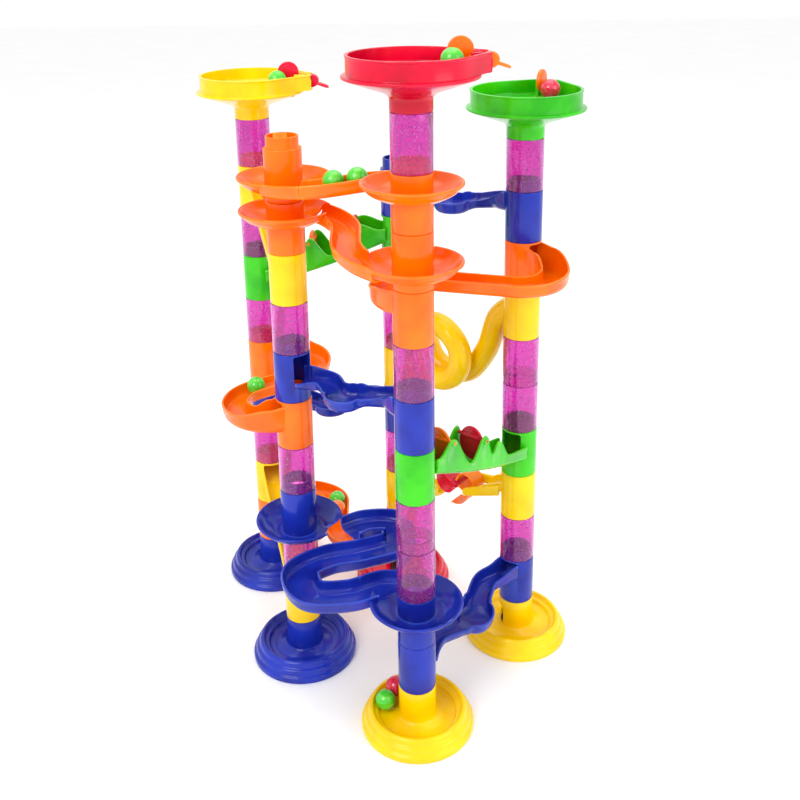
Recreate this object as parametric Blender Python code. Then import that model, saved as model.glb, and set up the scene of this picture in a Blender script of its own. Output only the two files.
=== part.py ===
"""Marble run: five towers of stacked tube sections joined by bridges, slides and tracks."""
import math

import bmesh
import bpy
from mathutils import Vector

# Driving dimensions, millimetres (meshes are built in millimetres and scaled to metres)
MM = 0.001
MODULE = 42.0            # height that one section adds to a tower
GAP = 0.3                # clearance left between touching pieces
TUBE_R = 15.0
BORE_R = 13.3
NECK_R = 12.9
NECK_BORE_R = 11.3
NECK_H = 9.0
TAB_H = 4.0
SOCKET_H = 13.4          # bore depth that a neck and its tab need
SHOULDER = 1.2           # wall left above a window
RING_SIDES = 12
MARBLE_R = 8.0

BASE_H = 37.6
BASE_R = 45.2
BASE_RIM_R = 37.0
DISH_R = 36.5
DISH_DEPTH = 10.5
FUNNEL_R = 47.5

TRACK_HALF = 9.5         # half width of the rolling channel
TRACK_WALL = 1.6
TRACK_RIM = 9.5          # side wall above the rolling surface
TRACK_FLOOR = 1.8
SOURCE_FLOOR = 22.0      # rolling surface above the foot of the section it leaves
TARGET_FLOOR = 9.0       # rolling surface above the foot of the section it enters
HAIRPIN_R = 31.0
HAIRPIN_END = 16.0       # the same where a hairpin track comes in
WINDOW_HALF = 9.2

# Plan position of each tower axis, seen from above
TOWERS = {
    "A": (-115.0, 107.0),
    "B": (-75.0, -19.0),
    "C": (23.5, -107.0),
    "D": (13.0, 85.5),
    "E": (115.0, 4.2),
}

COLOURS = {
    "orange": (1.0, 0.16, 0.0),
    "yellow": (1.0, 0.62, 0.0),
    "blue": (0.01, 0.04, 0.55),
    "green": (0.03, 0.55, 0.01),
    "red": (0.75, 0.0, 0.03),
    "pink": (0.85, 0.1, 0.5),
}

# The clear sections of each tower, counted from the base
CLEAR_SECTIONS = {
    "A": (3, 6, 8, 10),
    "B": (2, 4, 7),
    "C": (3, 4, 7, 11),
    "D": (3, 6, 7),
    "E": (2, 5, 6, 10),
}

# Towers that end in an open neck, and the section it is on
OPEN_TOPS = {"B": 10, "D": 9}

BASE_COLOURS = {"A": "blue", "B": "blue", "C": "yellow", "D": "red", "E": "yellow"}

# Direction, in degrees, in which marbles roll out of each base
BASE_EXITS = {"A": 60.0, "B": 70.0, "C": 160.0, "D": 250.0, "E": 215.0}

ACROSS = (-WINDOW_HALF, WINDOW_HALF)
SLAB_STEP = 0.3          # a turning floor stands this much above its track

# Share of the span at each flap pin, named by the tower the bridge runs down to
FLAP_SPOTS = {"A": (0.30, 0.61), "E": (0.21, 0.51)}
FLAP_PIN = 25.5                # pin above the rolling surface
FLAP_HALF = 11.6
FLAP_TRACK = 13.0              # half width of the channel the flaps hang in

WHEEL_T = 62.0                 # wheel axle from the higher tower
WHEEL_Z = 51.4                 # wheel axle above the foot of the lower section
WHEEL_R = 21.4
WHEEL_HALF = 8.6
RAIL_IN, RAIL_OUT = 10.3, 13.4

FUNNELS = {          # tower: section count, colour, lever colour, direction of the gate
    "C": (11, "red", "orange", 10.0),
    "E": (10, "green", "orange", 62.0),
    "A": (10, "yellow", "red", -3.0),
}
PAN_RIM = 38.5       # rim above the shoulder the pan stands on
PIN_REACH = 50.0     # lever pin from the tower axis
PIN_Z = 32.0

# Marbles lying in tracks: colour, bridge, and place along, across and above the foot of a section
TRACK_MARBLES = {
    "marble_c10_near": ("green", "C", "B", 10, (59.0, -7.0, 27.3)),
    "marble_c10_far": ("green", "C", "B", 10, (71.6, 5.4, 25.4)),
    "marble_a5": ("green", "A", "B", 5, (71.3, -21.0, 27.2)),
    "marble_d1_left": ("orange", "D", "A", 1, (66.4, -7.4, 27.6)),
    "marble_d1_right": ("green", "D", "A", 1, (70.4, -24.6, 27.2)),
}
# Marbles lying in the front base's dish: colour and direction in degrees
BASE_MARBLES = {"marble_base_left": ("green", 172.0), "marble_base_right": ("red", 133.0)}
GATE_MARBLES = {"C": "green", "E": "red", "A": "green"}


# ---------------------------------------------------------------- scene basics
def clear_scene():
    for item in list(bpy.data.objects):
        bpy.data.objects.remove(item, do_unlink=True)


def material(name):
    found = bpy.data.materials.get(name)
    if found:
        return found
    made = bpy.data.materials.new(name)
    made.use_nodes = True
    shader = made.node_tree.nodes["Principled BSDF"]
    shader.inputs["Base Color"].default_value = (*COLOURS[name], 1.0)
    shader.inputs["Roughness"].default_value = 0.12 if name == "pink" else 0.28
    shader.inputs["Metallic"].default_value = 0.0
    if name == "pink":
        shader.inputs["Transmission Weight"].default_value = 0.8
    made.diffuse_color = (*COLOURS[name], 1.0)
    return made


def level(section):
    """Height of the foot of a section, counted from 1 above the base."""
    return BASE_H + (section - 1) * MODULE


# ---------------------------------------------------------------- mesh makers
def settle(work):
    """Close hairline gaps and split every face into flat triangles."""
    bmesh.ops.remove_doubles(work, verts=work.verts, dist=0.002)
    bmesh.ops.dissolve_degenerate(work, edges=work.edges, dist=0.002)
    bmesh.ops.triangulate(work, faces=work.faces, quad_method="BEAUTY", ngon_method="BEAUTY")
    bmesh.ops.recalc_face_normals(work, faces=work.faces)


def solid(name, verts, faces):
    """An object in the scene from millimetre vertices, its faces turned outwards."""
    mesh = bpy.data.meshes.new(name)
    mesh.from_pydata([Vector(v) for v in verts], [], faces)
    work = bmesh.new()
    work.from_mesh(mesh)
    settle(work)
    work.to_mesh(mesh)
    work.free()
    made = bpy.data.objects.new(name, mesh)
    bpy.context.scene.collection.objects.link(made)
    return made


def lathe(name, profile, centre, sides):
    """Turn an outline of (radius, height) about a tower axis; one that ends at radius 0 is capped flat."""
    capped = profile[0][0] == 0.0
    outline = profile[1:-1] if capped else profile
    verts, rings = [], []
    for radius, height in outline:
        rings.append(list(range(len(verts), len(verts) + sides)))
        for step in range(sides):
            angle = 2.0 * math.pi * step / sides
            verts.append((centre[0] + radius * math.cos(angle), centre[1] + radius * math.sin(angle), height))
    faces = [tuple(rings[0]), tuple(rings[-1])] if capped else []
    pairs = zip(rings, rings[1:]) if capped else zip(rings, rings[1:] + rings[:1])
    for lower, upper in pairs:
        for step in range(sides):
            ahead = (step + 1) % sides
            faces.append((lower[step], lower[ahead], upper[ahead], upper[step]))
    return solid(name, verts, faces)


def skin(name, rings):
    """A solid through matching rings of points, flat across both ends."""
    count = len(rings[0])
    verts = [point for ring in rings for point in ring]
    faces = [tuple(range(count)), tuple(range(len(verts) - count, len(verts)))]
    for index in range(len(rings) - 1):
        low, high = index * count, (index + 1) * count
        for step in range(count):
            ahead = (step + 1) % count
            faces.append((low + step, low + ahead, high + ahead, high + step))
    return solid(name, verts, faces)


def facing(centre, degrees):
    """Frame about a tower axis: outwards in the given direction, left across it, and up."""
    ux, uy = math.cos(math.radians(degrees)), math.sin(math.radians(degrees))
    return lambda t, w, z: (centre[0] + t * ux - w * uy, centre[1] + t * uy + w * ux, z)


def box(name, place, t_range, w_range, z_range):
    """A block in a run's own frame: along, across and up."""
    rings = []
    for t in t_range:
        rings.append([place(t, w, z) for w, z in (
            (w_range[0], z_range[0]), (w_range[1], z_range[0]), (w_range[1], z_range[1]), (w_range[0], z_range[1]))])
    return skin(name, rings)


def disc(name, place, centre, radii, w_range, sides=14):
    """A round or oval plate whose axis runs across a run."""
    rings = []
    for w in w_range:
        rings.append([
            place(
                centre[0] + radii[0] * math.cos(2.0 * math.pi * k / sides), w,
                centre[1] + radii[1] * math.sin(2.0 * math.pi * k / sides))
            for k in range(sides)])
    return skin(name, rings)


def combine(target, other, operation):
    """Boolean one solid into another and remove the second."""
    step = target.modifiers.new(operation, "BOOLEAN")
    step.operation = operation
    step.solver = "EXACT"
    step.object = other
    bpy.context.view_layer.update()
    shaped = target.evaluated_get(bpy.context.evaluated_depsgraph_get())
    mesh = bpy.data.meshes.new_from_object(shaped)
    target.modifiers.clear()
    work = bmesh.new()
    work.from_mesh(mesh)
    settle(work)
    work.to_mesh(mesh)
    work.free()
    old = target.data
    target.data = mesh
    bpy.data.meshes.remove(old)
    spare = other.data
    bpy.data.objects.remove(other, do_unlink=True)
    bpy.data.meshes.remove(spare)


def join(pieces):
    first = pieces[0]
    for piece in pieces[1:]:
        combine(first, piece, "UNION")
    return first


def cut(target, cutters):
    for cutter in cutters:
        combine(target, cutter, "DIFFERENCE")


def finish(obj, name, colour, origin=None, smooth=True):
    """Name, clean, colour and place a finished sub-part, with its origin where it turns."""
    mesh = obj.data
    mesh.name = name
    obj.name = name
    work = bmesh.new()
    work.from_mesh(mesh)
    settle(work)
    bmesh.ops.dissolve_limit(work, angle_limit=math.radians(0.15), verts=work.verts, edges=work.edges)
    bmesh.ops.triangulate(work, faces=work.faces, quad_method="BEAUTY", ngon_method="BEAUTY")
    work.to_mesh(mesh)
    work.free()
    pivot = Vector(origin) if origin else Vector((0.0, 0.0, 0.0))
    for vertex in mesh.vertices:
        vertex.co = (vertex.co - pivot) * MM
    obj.location = pivot * MM
    mesh.materials.clear()
    mesh.materials.append(material(colour))
    for face in mesh.polygons:
        face.use_smooth = False
    if smooth:
        mesh.shade_smooth()
        mesh.set_sharp_from_angle(angle=math.radians(35.0))
    return obj


# ---------------------------------------------------------------- tube sections
def tube_tab(centre, foot):
    """The key that stands up on a neck."""
    inner, outer = NECK_BORE_R + 0.25, NECK_R - 0.2
    low, high = foot + MODULE + NECK_H - 1.0, foot + MODULE + NECK_H + TAB_H
    ring = []
    for radius, turns in ((outer, (-24, -8, 8, 24)), (inner, (24, 8, -8, -24))):
        for turn in turns:
            angle = math.radians(turn - 90.0)
            ring.append((centre[0] + radius * math.cos(angle), centre[1] + radius * math.sin(angle)))
    return skin("tab", [[(x, y, z) for x, y in ring] for z in (low, high)])


def tube_outline(foot):
    """Outline of a plain section: socket below, body, shoulder and neck above."""
    shoulder = foot + MODULE - GAP
    return [
        (TUBE_R, foot), (TUBE_R, shoulder), (NECK_R, shoulder), (NECK_R, foot + MODULE + NECK_H),
        (NECK_BORE_R, foot + MODULE + NECK_H), (BORE_R, foot + SOCKET_H + 0.6), (BORE_R, foot)]


def ring_body(tower, section):
    """A section without its bore, ready to join to a track; the top one of a tower shows its key."""
    centre, foot = TOWERS[tower], level(section)
    shoulder = foot + MODULE - GAP
    body = lathe("body", [
        (0, foot), (TUBE_R, foot), (TUBE_R, shoulder), (NECK_R, shoulder),
        (NECK_R, foot + MODULE + NECK_H), (0, foot + MODULE + NECK_H)], centre, RING_SIDES)
    if section == OPEN_TOPS.get(tower):
        combine(body, tube_tab(centre, foot), "UNION")
    return body


def bore_cutters(centre, foot, slab_top=None):
    """Cutters for a section's bore; a section that turns marbles out keeps a floor."""
    top = foot + MODULE + NECK_H + TAB_H + 5.0
    ledge = foot + MODULE - GAP - SHOULDER
    if slab_top is None:
        return [lathe("bore", [
            (0, foot - 5.0), (BORE_R, foot - 5.0), (BORE_R, foot + SOCKET_H + 0.6), (NECK_BORE_R, ledge),
            (NECK_BORE_R, top), (0, top)], centre, RING_SIDES)]
    lower = lathe("socket", [
        (0, foot - 5.0), (BORE_R, foot - 5.0), (BORE_R, slab_top - 2.0), (0, slab_top - 2.0)], centre, RING_SIDES)
    upper = lathe("bore", [
        (0, slab_top), (BORE_R, slab_top), (NECK_BORE_R, ledge), (NECK_BORE_R, top), (0, top)], centre, RING_SIDES)
    return [lower, upper]


def clear_tube(tower, section):
    centre, foot = TOWERS[tower], level(section)
    body = lathe("tube", tube_outline(foot), centre, RING_SIDES)
    finish(body, f"clear_tube_{tower.lower()}{section}", "pink")


def base(tower):
    """A moulded foot: stepped flange, catching dish and hollow neck post."""
    centre = TOWERS[tower]
    body = lathe("base", [
        (BASE_R, 0.0), (BASE_R, 5.0), (BASE_R - 3.8, 8.0), (BASE_RIM_R + 0.8, 16.5),
        (BASE_RIM_R - 1.0, 16.5), (30.0, 7.5), (TUBE_R, 11.0), (TUBE_R, BASE_H - GAP),
        (NECK_R - 0.4, BASE_H - GAP), (NECK_R - 0.4, BASE_H + NECK_H), (NECK_BORE_R - 0.3, BASE_H + NECK_H),
        (BORE_R, 8.6), (BASE_R - 5.5, 4.4), (BASE_R - 4.0, 0.0)], centre, 16)
    place = facing(centre, BASE_EXITS[tower])
    combine(body, box("gate", place, (0.0, 19.0), (-WINDOW_HALF, WINDOW_HALF), (12.2, 30.0)), "DIFFERENCE")
    finish(body, f"base_{tower.lower()}", BASE_COLOURS[tower])


# ---------------------------------------------------------------- frames and paths
def run_frame(start, end):
    """Frame of a bridge: along from one tower axis to the next, left across, and up."""
    (x0, y0), (x1, y1) = TOWERS[start], TOWERS[end]
    span = math.hypot(x1 - x0, y1 - y0)
    ux, uy = (x1 - x0) / span, (y1 - y0) / span

    def place(t, w, z):
        return (x0 + ux * t - uy * w, y0 + uy * t + ux * w, z)

    return place, span


def arc(centre, radius, first, last, steps):
    """Points on a circle between two angles in degrees, as (along, across)."""
    points = []
    for k in range(steps + 1):
        angle = math.radians(first + (last - first) * k / steps)
        points.append((centre[0] + radius * math.cos(angle), centre[1] + radius * math.sin(angle)))
    return points


def smooth_line(points, per_piece):
    """A rounded line through the given points of any dimension."""
    guard = [points[0]] + list(points) + [points[-1]]
    line = []
    for a, b, c, d in zip(guard, guard[1:], guard[2:], guard[3:]):
        for k in range(per_piece):
            s = k / per_piece
            line.append(tuple(
                0.5 * (2 * q + (r - p) * s + (2 * p - 5 * q + 4 * r - v) * s * s + (3 * q - p - 3 * r + v) * s ** 3)
                for p, q, r, v in zip(a, b, c, d)))
    line.append(tuple(points[-1]))
    return line


def graded(flat, z_first, z_last):
    """Give a plan line a steady fall from its first point to its last."""
    lengths = [0.0]
    for (t0, w0), (t1, w1) in zip(flat, flat[1:]):
        lengths.append(lengths[-1] + math.hypot(t1 - t0, w1 - w0))
    return [(t, w, z_first + (z_last - z_first) * s / lengths[-1]) for (t, w), s in zip(flat, lengths)]


def sideways(path, index):
    """Unit direction across a path at one of its points, in plan."""
    before, after = path[max(index - 1, 0)], path[min(index + 1, len(path) - 1)]
    dt, dw = after[0] - before[0], after[1] - before[1]
    length = math.hypot(dt, dw)
    return -dw / length, dt / length


def channel(place, path, heights=None, half=TRACK_HALF):
    """Outer body and inner hollow of an open track whose rolling surface follows path."""
    outer, inner = [], []
    for index, (t, w, z) in enumerate(path):
        side_t, side_w = sideways(path, index)
        rim = heights[index] if heights else TRACK_RIM
        wide = half + TRACK_WALL
        shell = ((-wide, rim), (-wide + 3.5, -TRACK_FLOOR), (wide - 3.5, -TRACK_FLOOR), (wide, rim))
        hollow = ((-half, rim + 30.0), (-half, rim), (-half + 3.0, 0.0), (half - 3.0, 0.0), (half, rim),
                  (half, rim + 30.0))
        outer.append([place(t + side_t * a, w + side_w * a, z + b) for a, b in shell])
        past = {0: -1.0, len(path) - 1: 1.0}.get(index, 0.0)
        t, w = t + side_w * past, w - side_t * past
        inner.append([place(t + side_t * a, w + side_w * a, z + b) for a, b in hollow])
    return skin("track", outer), skin("hollow", inner)


def window(place, t_range, w_range, z_low, section):
    """Cutter for the opening in a ring, from just under the rolling surface to its shoulder."""
    return box("window", place, t_range, w_range, (z_low - 0.15, level(section) + MODULE - GAP - SHOULDER - 0.6))


def back_window(tower, z_low, section):
    """The window of a dish ring, on the far side of the toy."""
    return window(facing(TOWERS[tower], 90.0), (-0.7, 18.0), ACROSS, z_low, section)


def dish(centre, rim_z):
    """Outer body and inner hollow of a round catching dish about a tower."""
    outer = lathe("dish", [
        (0, rim_z - DISH_DEPTH - TRACK_FLOOR), (22.0, rim_z - DISH_DEPTH - TRACK_FLOOR),
        (32.0, rim_z - 6.5), (DISH_R, rim_z), (0, rim_z)], centre, 16)
    inner = lathe("dish_hollow", [
        (0, rim_z - DISH_DEPTH), (21.5, rim_z - DISH_DEPTH), (30.4, rim_z - 5.5),
        (DISH_R - 1.6, rim_z + 0.2), (DISH_R - 1.6, rim_z + 3.0), (0, rim_z + 3.0)], centre, 16)
    return outer, inner


# ---------------------------------------------------------------- bridges
def assemble(name, colour, bodies, hollows, ends, openings):
    """Join track bodies, hollow them, add both tube rings and open their windows.

    ends holds the tower, section and slab height (or None) of each ring."""
    body = join(bodies)
    cut(body, hollows)
    for tower, section, _ in ends:
        combine(body, ring_body(tower, section), "UNION")
    for tower, section, slab in ends:
        slab_top = None if slab is None else level(section) + slab + SLAB_STEP
        cut(body, bore_cutters(TOWERS[tower], level(section), slab_top))
    cut(body, openings)
    finish(body, name, colour)


def hairpin_bridge(name, start, start_section, end, end_section):
    """Orange track of two hairpins, leaving one tower sideways and crossing between both."""
    place, span = run_frame(start, end)
    z0, z1 = level(start_section) + SOURCE_FLOOR, level(end_section) + HAIRPIN_END
    flat = [(0.0, 9.0)] + arc((HAIRPIN_R, 13.0), HAIRPIN_R, 180.0, 15.0, 5)
    flat += arc((span - HAIRPIN_R, -13.0), HAIRPIN_R, 195.0, 360.0, 5) + [(span, -9.0)]
    path = graded(flat, z0, z1)
    rise = MODULE - GAP - SHOULDER - SOURCE_FLOOR - 0.7
    heights = [rise, rise - 3.0, TRACK_RIM + 2.0] + [TRACK_RIM] * (len(path) - 6)
    heights += [TRACK_RIM + 4.0, TRACK_RIM + 10.0, rise + 5.0]
    track, hollow = channel(place, path, heights)
    first = window(place, ACROSS, (-0.7, 18.0), z0, start_section)
    last = window(place, (span - WINDOW_HALF, span + WINDOW_HALF), (-18.0, 0.7), z1, end_section)
    assemble(name, "orange", [track], [hollow], [
        (start, start_section, SOURCE_FLOOR), (end, end_section, None)], [first, last])


def pocket_bridge(name, start, start_section, end, end_section):
    """Blue straight track with a round pocket half way."""
    place, span = run_frame(start, end)
    z0, z1 = level(start_section) + SOURCE_FLOOR + 2.0, level(end_section) + TARGET_FLOOR + 4.0
    flat = [(9.0, 0.0), (24.0, 0.5), (span * 0.36, 4.0), (span * 0.5, 0.0), (span * 0.64, -4.0),
            (span - 24.0, -0.5), (span - 9.0, 0.0)]
    path = graded(flat, z0, z1)
    rise = MODULE - GAP - SHOULDER - SOURCE_FLOOR - 2.7
    heights = [rise, TRACK_RIM + 1.0] + [TRACK_RIM] * 5
    track, hollow = channel(place, path, heights, TRACK_HALF - 0.7)
    middle = place(span * 0.5, 0.0, 0.0)[:2]
    z_mid = path[3][2]
    bowl = lathe("bowl", [
        (0, z_mid - 4.3), (14.0, z_mid - 4.3), (20.0, z_mid + 1.0), (21.0, z_mid + TRACK_RIM - 1.0),
        (0, z_mid + TRACK_RIM - 1.0)], middle, 12)
    bowl_hollow = lathe("bowl_hollow", [
        (0, z_mid - 2.5), (13.0, z_mid - 2.5), (18.6, z_mid + 2.0), (19.4, z_mid + TRACK_RIM + 6.0),
        (0, z_mid + TRACK_RIM + 6.0)], middle, 12)
    first = window(place, (-0.7, 18.0), ACROSS, z0, start_section)
    last = window(place, (span - 18.0, span + 0.7), ACROSS, z1, end_section)
    assemble(name, "blue", [track, bowl], [hollow, bowl_hollow], [
        (start, start_section, SOURCE_FLOOR + 2.0), (end, end_section, None)], [first, last])


def dish_bridge(name, start, start_section, end, end_section, side):
    """Orange track between two round dishes, swinging from one side to the other."""
    place, span = run_frame(start, end)
    rim0, rim1 = level(start_section) + 35.0, level(end_section) + 20.0
    flat = smooth_line([
        (10.0, 22.0 * side), (30.0, 22.0 * side), (span * 0.40, 13.0 * side), (span * 0.60, -13.0 * side),
        (span - 30.0, -22.0 * side), (span - 10.0, -22.0 * side)], 2)
    path = graded(flat, rim0 - DISH_DEPTH + 0.4, rim1 - DISH_DEPTH + 0.4)
    track, hollow = channel(place, path, [DISH_DEPTH - 0.9] * len(path))
    bodies, hollows = [track], [hollow]
    for tower, rim in ((start, rim0), (end, rim1)):
        outer, inner = dish(TOWERS[tower], rim)
        bodies.append(outer)
        hollows.append(inner)
    slab = 35.0 - DISH_DEPTH
    first = back_window(start, rim0 - DISH_DEPTH, start_section)
    last = back_window(end, rim1 - DISH_DEPTH, end_section)
    assemble(name, "orange", bodies, hollows, [
        (start, start_section, slab), (end, end_section, None)], [first, last])


def zigzag_bridge(name, start, start_section, end, end_section):
    """Blue track that doubles back twice between two dishes."""
    place, span = run_frame(start, end)
    rim0, rim1 = level(start_section) + DISH_DEPTH + TRACK_FLOOR + 0.2, level(end_section) + 35.0
    flat = smooth_line([
        (14.0, 1.0), (35.0, 14.0), (43.0, 40.0), (60.0, 55.0), (78.0, 38.0), (64.0, 10.0),
        (47.0, -12.0), (42.0, -38.0), (66.0, -50.0), (88.0, -28.0), (98.0, 0.0), (114.0, 12.0)], 2)
    path = graded(flat, rim0 - DISH_DEPTH + 0.4, rim1 - DISH_DEPTH + 0.4)
    track, hollow = channel(place, path, [DISH_DEPTH - 0.9] * len(path), 12.0)
    bodies, hollows = [track], [hollow]
    for tower, rim in ((start, rim0), (end, rim1)):
        outer, inner = dish(TOWERS[tower], rim)
        bodies.append(outer)
        hollows.append(inner)
    slab = SOCKET_H + 2.0
    first = back_window(start, level(start_section) + slab, start_section)
    last = back_window(end, rim1 - DISH_DEPTH, end_section)
    assemble(name, "blue", bodies, hollows, [
        (start, start_section, slab), (end, end_section, None)], [first, last])


def straight_slide(name, start, start_section, end, end_section):
    """Yellow straight chute down one level."""
    place, span = run_frame(start, end)
    z0, z1 = level(start_section) + SOURCE_FLOOR, level(end_section) + TARGET_FLOOR
    path = graded([(9.0, 0.0), (26.0, 0.0), (span - 26.0, 0.0), (span - 9.0, 0.0)], z0, z1)
    track, hollow = channel(place, path, [14.0, 12.0, 12.0, 14.0], TRACK_HALF - 0.7)
    first = window(place, (-0.7, 18.0), ACROSS, z0, start_section)
    last = window(place, (span - 18.0, span + 0.7), ACROSS, z1, end_section)
    assemble(name, "yellow", [track], [hollow], [
        (start, start_section, SOURCE_FLOOR), (end, end_section, None)], [first, last])


def flap_floor(start_section, end_section, share):
    """Rolling surface of the flap bridge at a share of the span."""
    z0, z1 = level(start_section) + 24.0, level(end_section) + 15.0
    return z0 + (z1 - z0) * share - 4.0 * math.sin(math.pi * share)


def flap_bridge(name, start, start_section, end, end_section, spots):
    """Green falling track with scalloped walls whose crests carry the flap pins."""
    place, span = run_frame(start, end)
    first_pin, last_pin = spots
    middle = (first_pin + last_pin) / 2.0
    profile = [(0.07, 13.0), (first_pin - 0.07, 20.0), (first_pin, 29.0), (first_pin + 0.07, 19.0),
               (middle, 8.0), (last_pin - 0.07, 20.0), (last_pin, 30.0), (last_pin + 0.06, 14.0),
               (last_pin + 0.14, 20.0), (last_pin + 0.22, 11.0), (0.93, 13.0)]
    path = [(span * s, 0.0, flap_floor(start_section, end_section, s)) for s, _ in profile]
    track, hollow = channel(place, path, [h for _, h in profile], FLAP_TRACK)
    holes = []
    for share in spots:
        height = flap_floor(start_section, end_section, share) + FLAP_PIN
        holes.append(disc("pin_hole", place, (span * share, height), (1.6, 1.6), (-18.0, 18.0), 8))
    z0, z1 = path[0][2], path[-1][2]
    first = window(place, (-0.7, 18.0), ACROSS, z0, start_section)
    last = window(place, (span - 18.0, span + 0.7), ACROSS, z1, end_section)
    assemble(name, "green", [track], [hollow] + holes, [
        (start, start_section, z0 - level(start_section)), (end, end_section, None)], [first, last])


def flap(name, colour, start, start_section, end, end_section, share):
    """Oval paddle on a cross pin that swings as a marble pushes under it."""
    place, span = run_frame(start, end)
    pin_t, pin_z = span * share, flap_floor(start_section, end_section, share) + FLAP_PIN
    count = 12
    rings = []
    for t in (pin_t - 1.2, pin_t + 1.2):
        rings.append([
            place(t, FLAP_HALF * math.cos(2.0 * math.pi * k / count),
                  pin_z - 6.0 + 14.5 * math.sin(2.0 * math.pi * k / count)) for k in range(count)])
    blade = skin("blade", rings)
    pin = disc("pin", place, (pin_t, pin_z), (1.25, 1.25), (-15.2, 15.2), 8)
    collar = disc("collar", place, (pin_t, pin_z), (2.3, 2.3), (-8.0, 8.0), 8)
    join([blade, collar, pin])
    finish(blade, name, colour, place(pin_t, 0.0, pin_z))


def beam(name, place, line, half, w_range):
    """A side rail that follows a line in its own upright plane."""
    rings = []
    for t, z in line:
        rings.append([place(t, w, z + rise) for w, rise in (
            (w_range[0], -half), (w_range[1], -half), (w_range[1], half), (w_range[0], half))])
    return skin(name, rings)


def wheel_bridge(name, start, start_section, end, end_section):
    """Yellow broken track: a short chute feeds a wheel that drops marbles on a second chute."""
    place, span = run_frame(start, end)
    low = level(end_section)
    hub_z = low + WHEEL_Z
    feed = [(9.0, 0.0, hub_z + 12.0), (WHEEL_T - WHEEL_R - 4.0, 0.0, hub_z + 0.5)]
    take = [(WHEEL_T + 18.0, 0.0, low + 33.0), (WHEEL_T + 32.0, 0.0, low + 21.0), (span - 9.0, 0.0, low + 9.0)]
    feed_body, feed_hollow = channel(place, feed, [9.6, 7.0])
    take_body, take_hollow = channel(place, take, [13.0, 15.0, 12.0])
    cut(feed_body, [feed_hollow])
    cut(take_body, [take_hollow])
    far_rail = beam("far_rail", place, [(24.0, hub_z + 5.5), (WHEEL_T, hub_z), (WHEEL_T + 24.0, hub_z - 8.5)], 4.4,
                    (-RAIL_IN, -RAIL_OUT))
    near_arm = beam("near_arm", place, [(24.0, hub_z + 6.0), (WHEEL_T - 13.0, hub_z - 1.0)], 4.2, (RAIL_IN, RAIL_OUT))
    axle_hole = disc("axle_hole", place, (WHEEL_T, hub_z), (2.1, 2.1), (-18.0, -5.0), 10)
    first = window(place, (-0.7, 18.0), ACROSS, feed[0][2], start_section)
    last = window(place, (span - 18.0, span + 0.7), ACROSS, take[-1][2], end_section)
    assemble(name, "yellow", [feed_body, take_body, far_rail, near_arm], [axle_hole], [
        (start, start_section, feed[0][2] - level(start_section)), (end, end_section, None)], [first, last])


def blade_rings(place, hub_t, hub_z, turn, inner, w_range):
    """One curved scoop of the wheel, from near the hub to the rim."""
    line = []
    for k in range(7):
        s = k / 6.0
        radius = inner + (WHEEL_R - 0.6 - inner) * s
        angle = math.radians(turn + 62.0 * s * s)
        line.append((radius, angle))
    edge = [(hub_t + r * math.cos(a), hub_z + r * math.sin(a)) for r, a in line]
    back = [(hub_t + (r + 0.6) * math.cos(a - 1.6 / r), hub_z + (r + 0.6) * math.sin(a - 1.6 / r))
            for r, a in reversed(line)]
    return skin("scoop", [[place(t, w, z) for t, z in edge + back] for w in w_range])


def wheel(name, start, start_section, end, end_section):
    """Wheel of four curved scoops on its axle."""
    place, span = run_frame(start, end)
    hub_t, hub_z = WHEEL_T, level(end_section) + WHEEL_Z
    hub = disc("hub", place, (hub_t, hub_z), (4.2, 4.2), (-WHEEL_HALF, WHEEL_HALF), 12)
    axle = disc("axle", place, (hub_t, hub_z), (1.7, 1.7), (-RAIL_OUT - 1.0, WHEEL_HALF - 1.0), 10)
    scoops = [blade_rings(place, hub_t, hub_z, turn, 3.2, (-WHEEL_HALF + 0.4, WHEEL_HALF - 0.4))
              for turn in (20.0, 110.0, 200.0, 290.0)]
    join([hub, axle] + scoops)
    finish(hub, name, "red", place(hub_t, 0.0, hub_z))


def round_tube(name, place, path, radius, sides):
    """A pipe body along a line in space, its rings carried without twist."""
    points = [Vector(place(*p)) for p in path]
    rings, across = [], None
    for index, point in enumerate(points):
        ahead = (points[min(index + 1, len(points) - 1)] - points[max(index - 1, 0)]).normalized()
        if across is None:
            across = ahead.cross(Vector((0, 0, 1))).normalized()
        across = (across - ahead * across.dot(ahead)).normalized()
        upward = across.cross(ahead)
        rings.append([
            tuple(point + across * radius * math.cos(2.0 * math.pi * k / sides)
                  + upward * radius * math.sin(2.0 * math.pi * k / sides)) for k in range(sides)])
    return skin(name, rings)


def loop_tube(name, start, start_section, end, end_section):
    """Yellow closed pipe that drops two levels and turns a full loop on the way."""
    place, span = run_frame(start, end)
    foot = level(end_section)
    mid_t, mid_z, radius, side = span * 0.61, foot + 51.0, 25.0, 10.6
    line = [(8.0, 0.0, level(start_section) + 24.0), (24.5, -2.0, foot + 92.5), (38.0, -8.0, foot + 61.0),
            (54.0, -side, foot + 37.0), (66.0, -side, foot + 28.5)]
    for turn in range(-90, 271, 36):
        share = min(max((turn + 20.0) / 150.0, 0.0), 1.0)
        across = -side + 2.0 * side * share * share * (3.0 - 2.0 * share)
        angle = math.radians(turn)
        line.append((mid_t + radius * math.cos(angle), across, mid_z + radius * math.sin(angle)))
    line += [(mid_t + 15.0, side - 0.6, foot + 24.0), (span - 22.0, 3.5, foot + 20.5), (span - 8.0, 0.0, foot + 20.0)]
    body = round_tube("pipe", place, line, 10.0, 8)
    inside = [(0.0, 0.0, line[0][2] + 1.0)] + line + [(span, 0.0, line[-1][2] - 1.0)]
    hollow = round_tube("pipe_hollow", place, inside, 8.6, 8)
    assemble(name, "yellow", [body], [], [
        (start, start_section, 14.9), (end, end_section, None)], [hollow])


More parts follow.
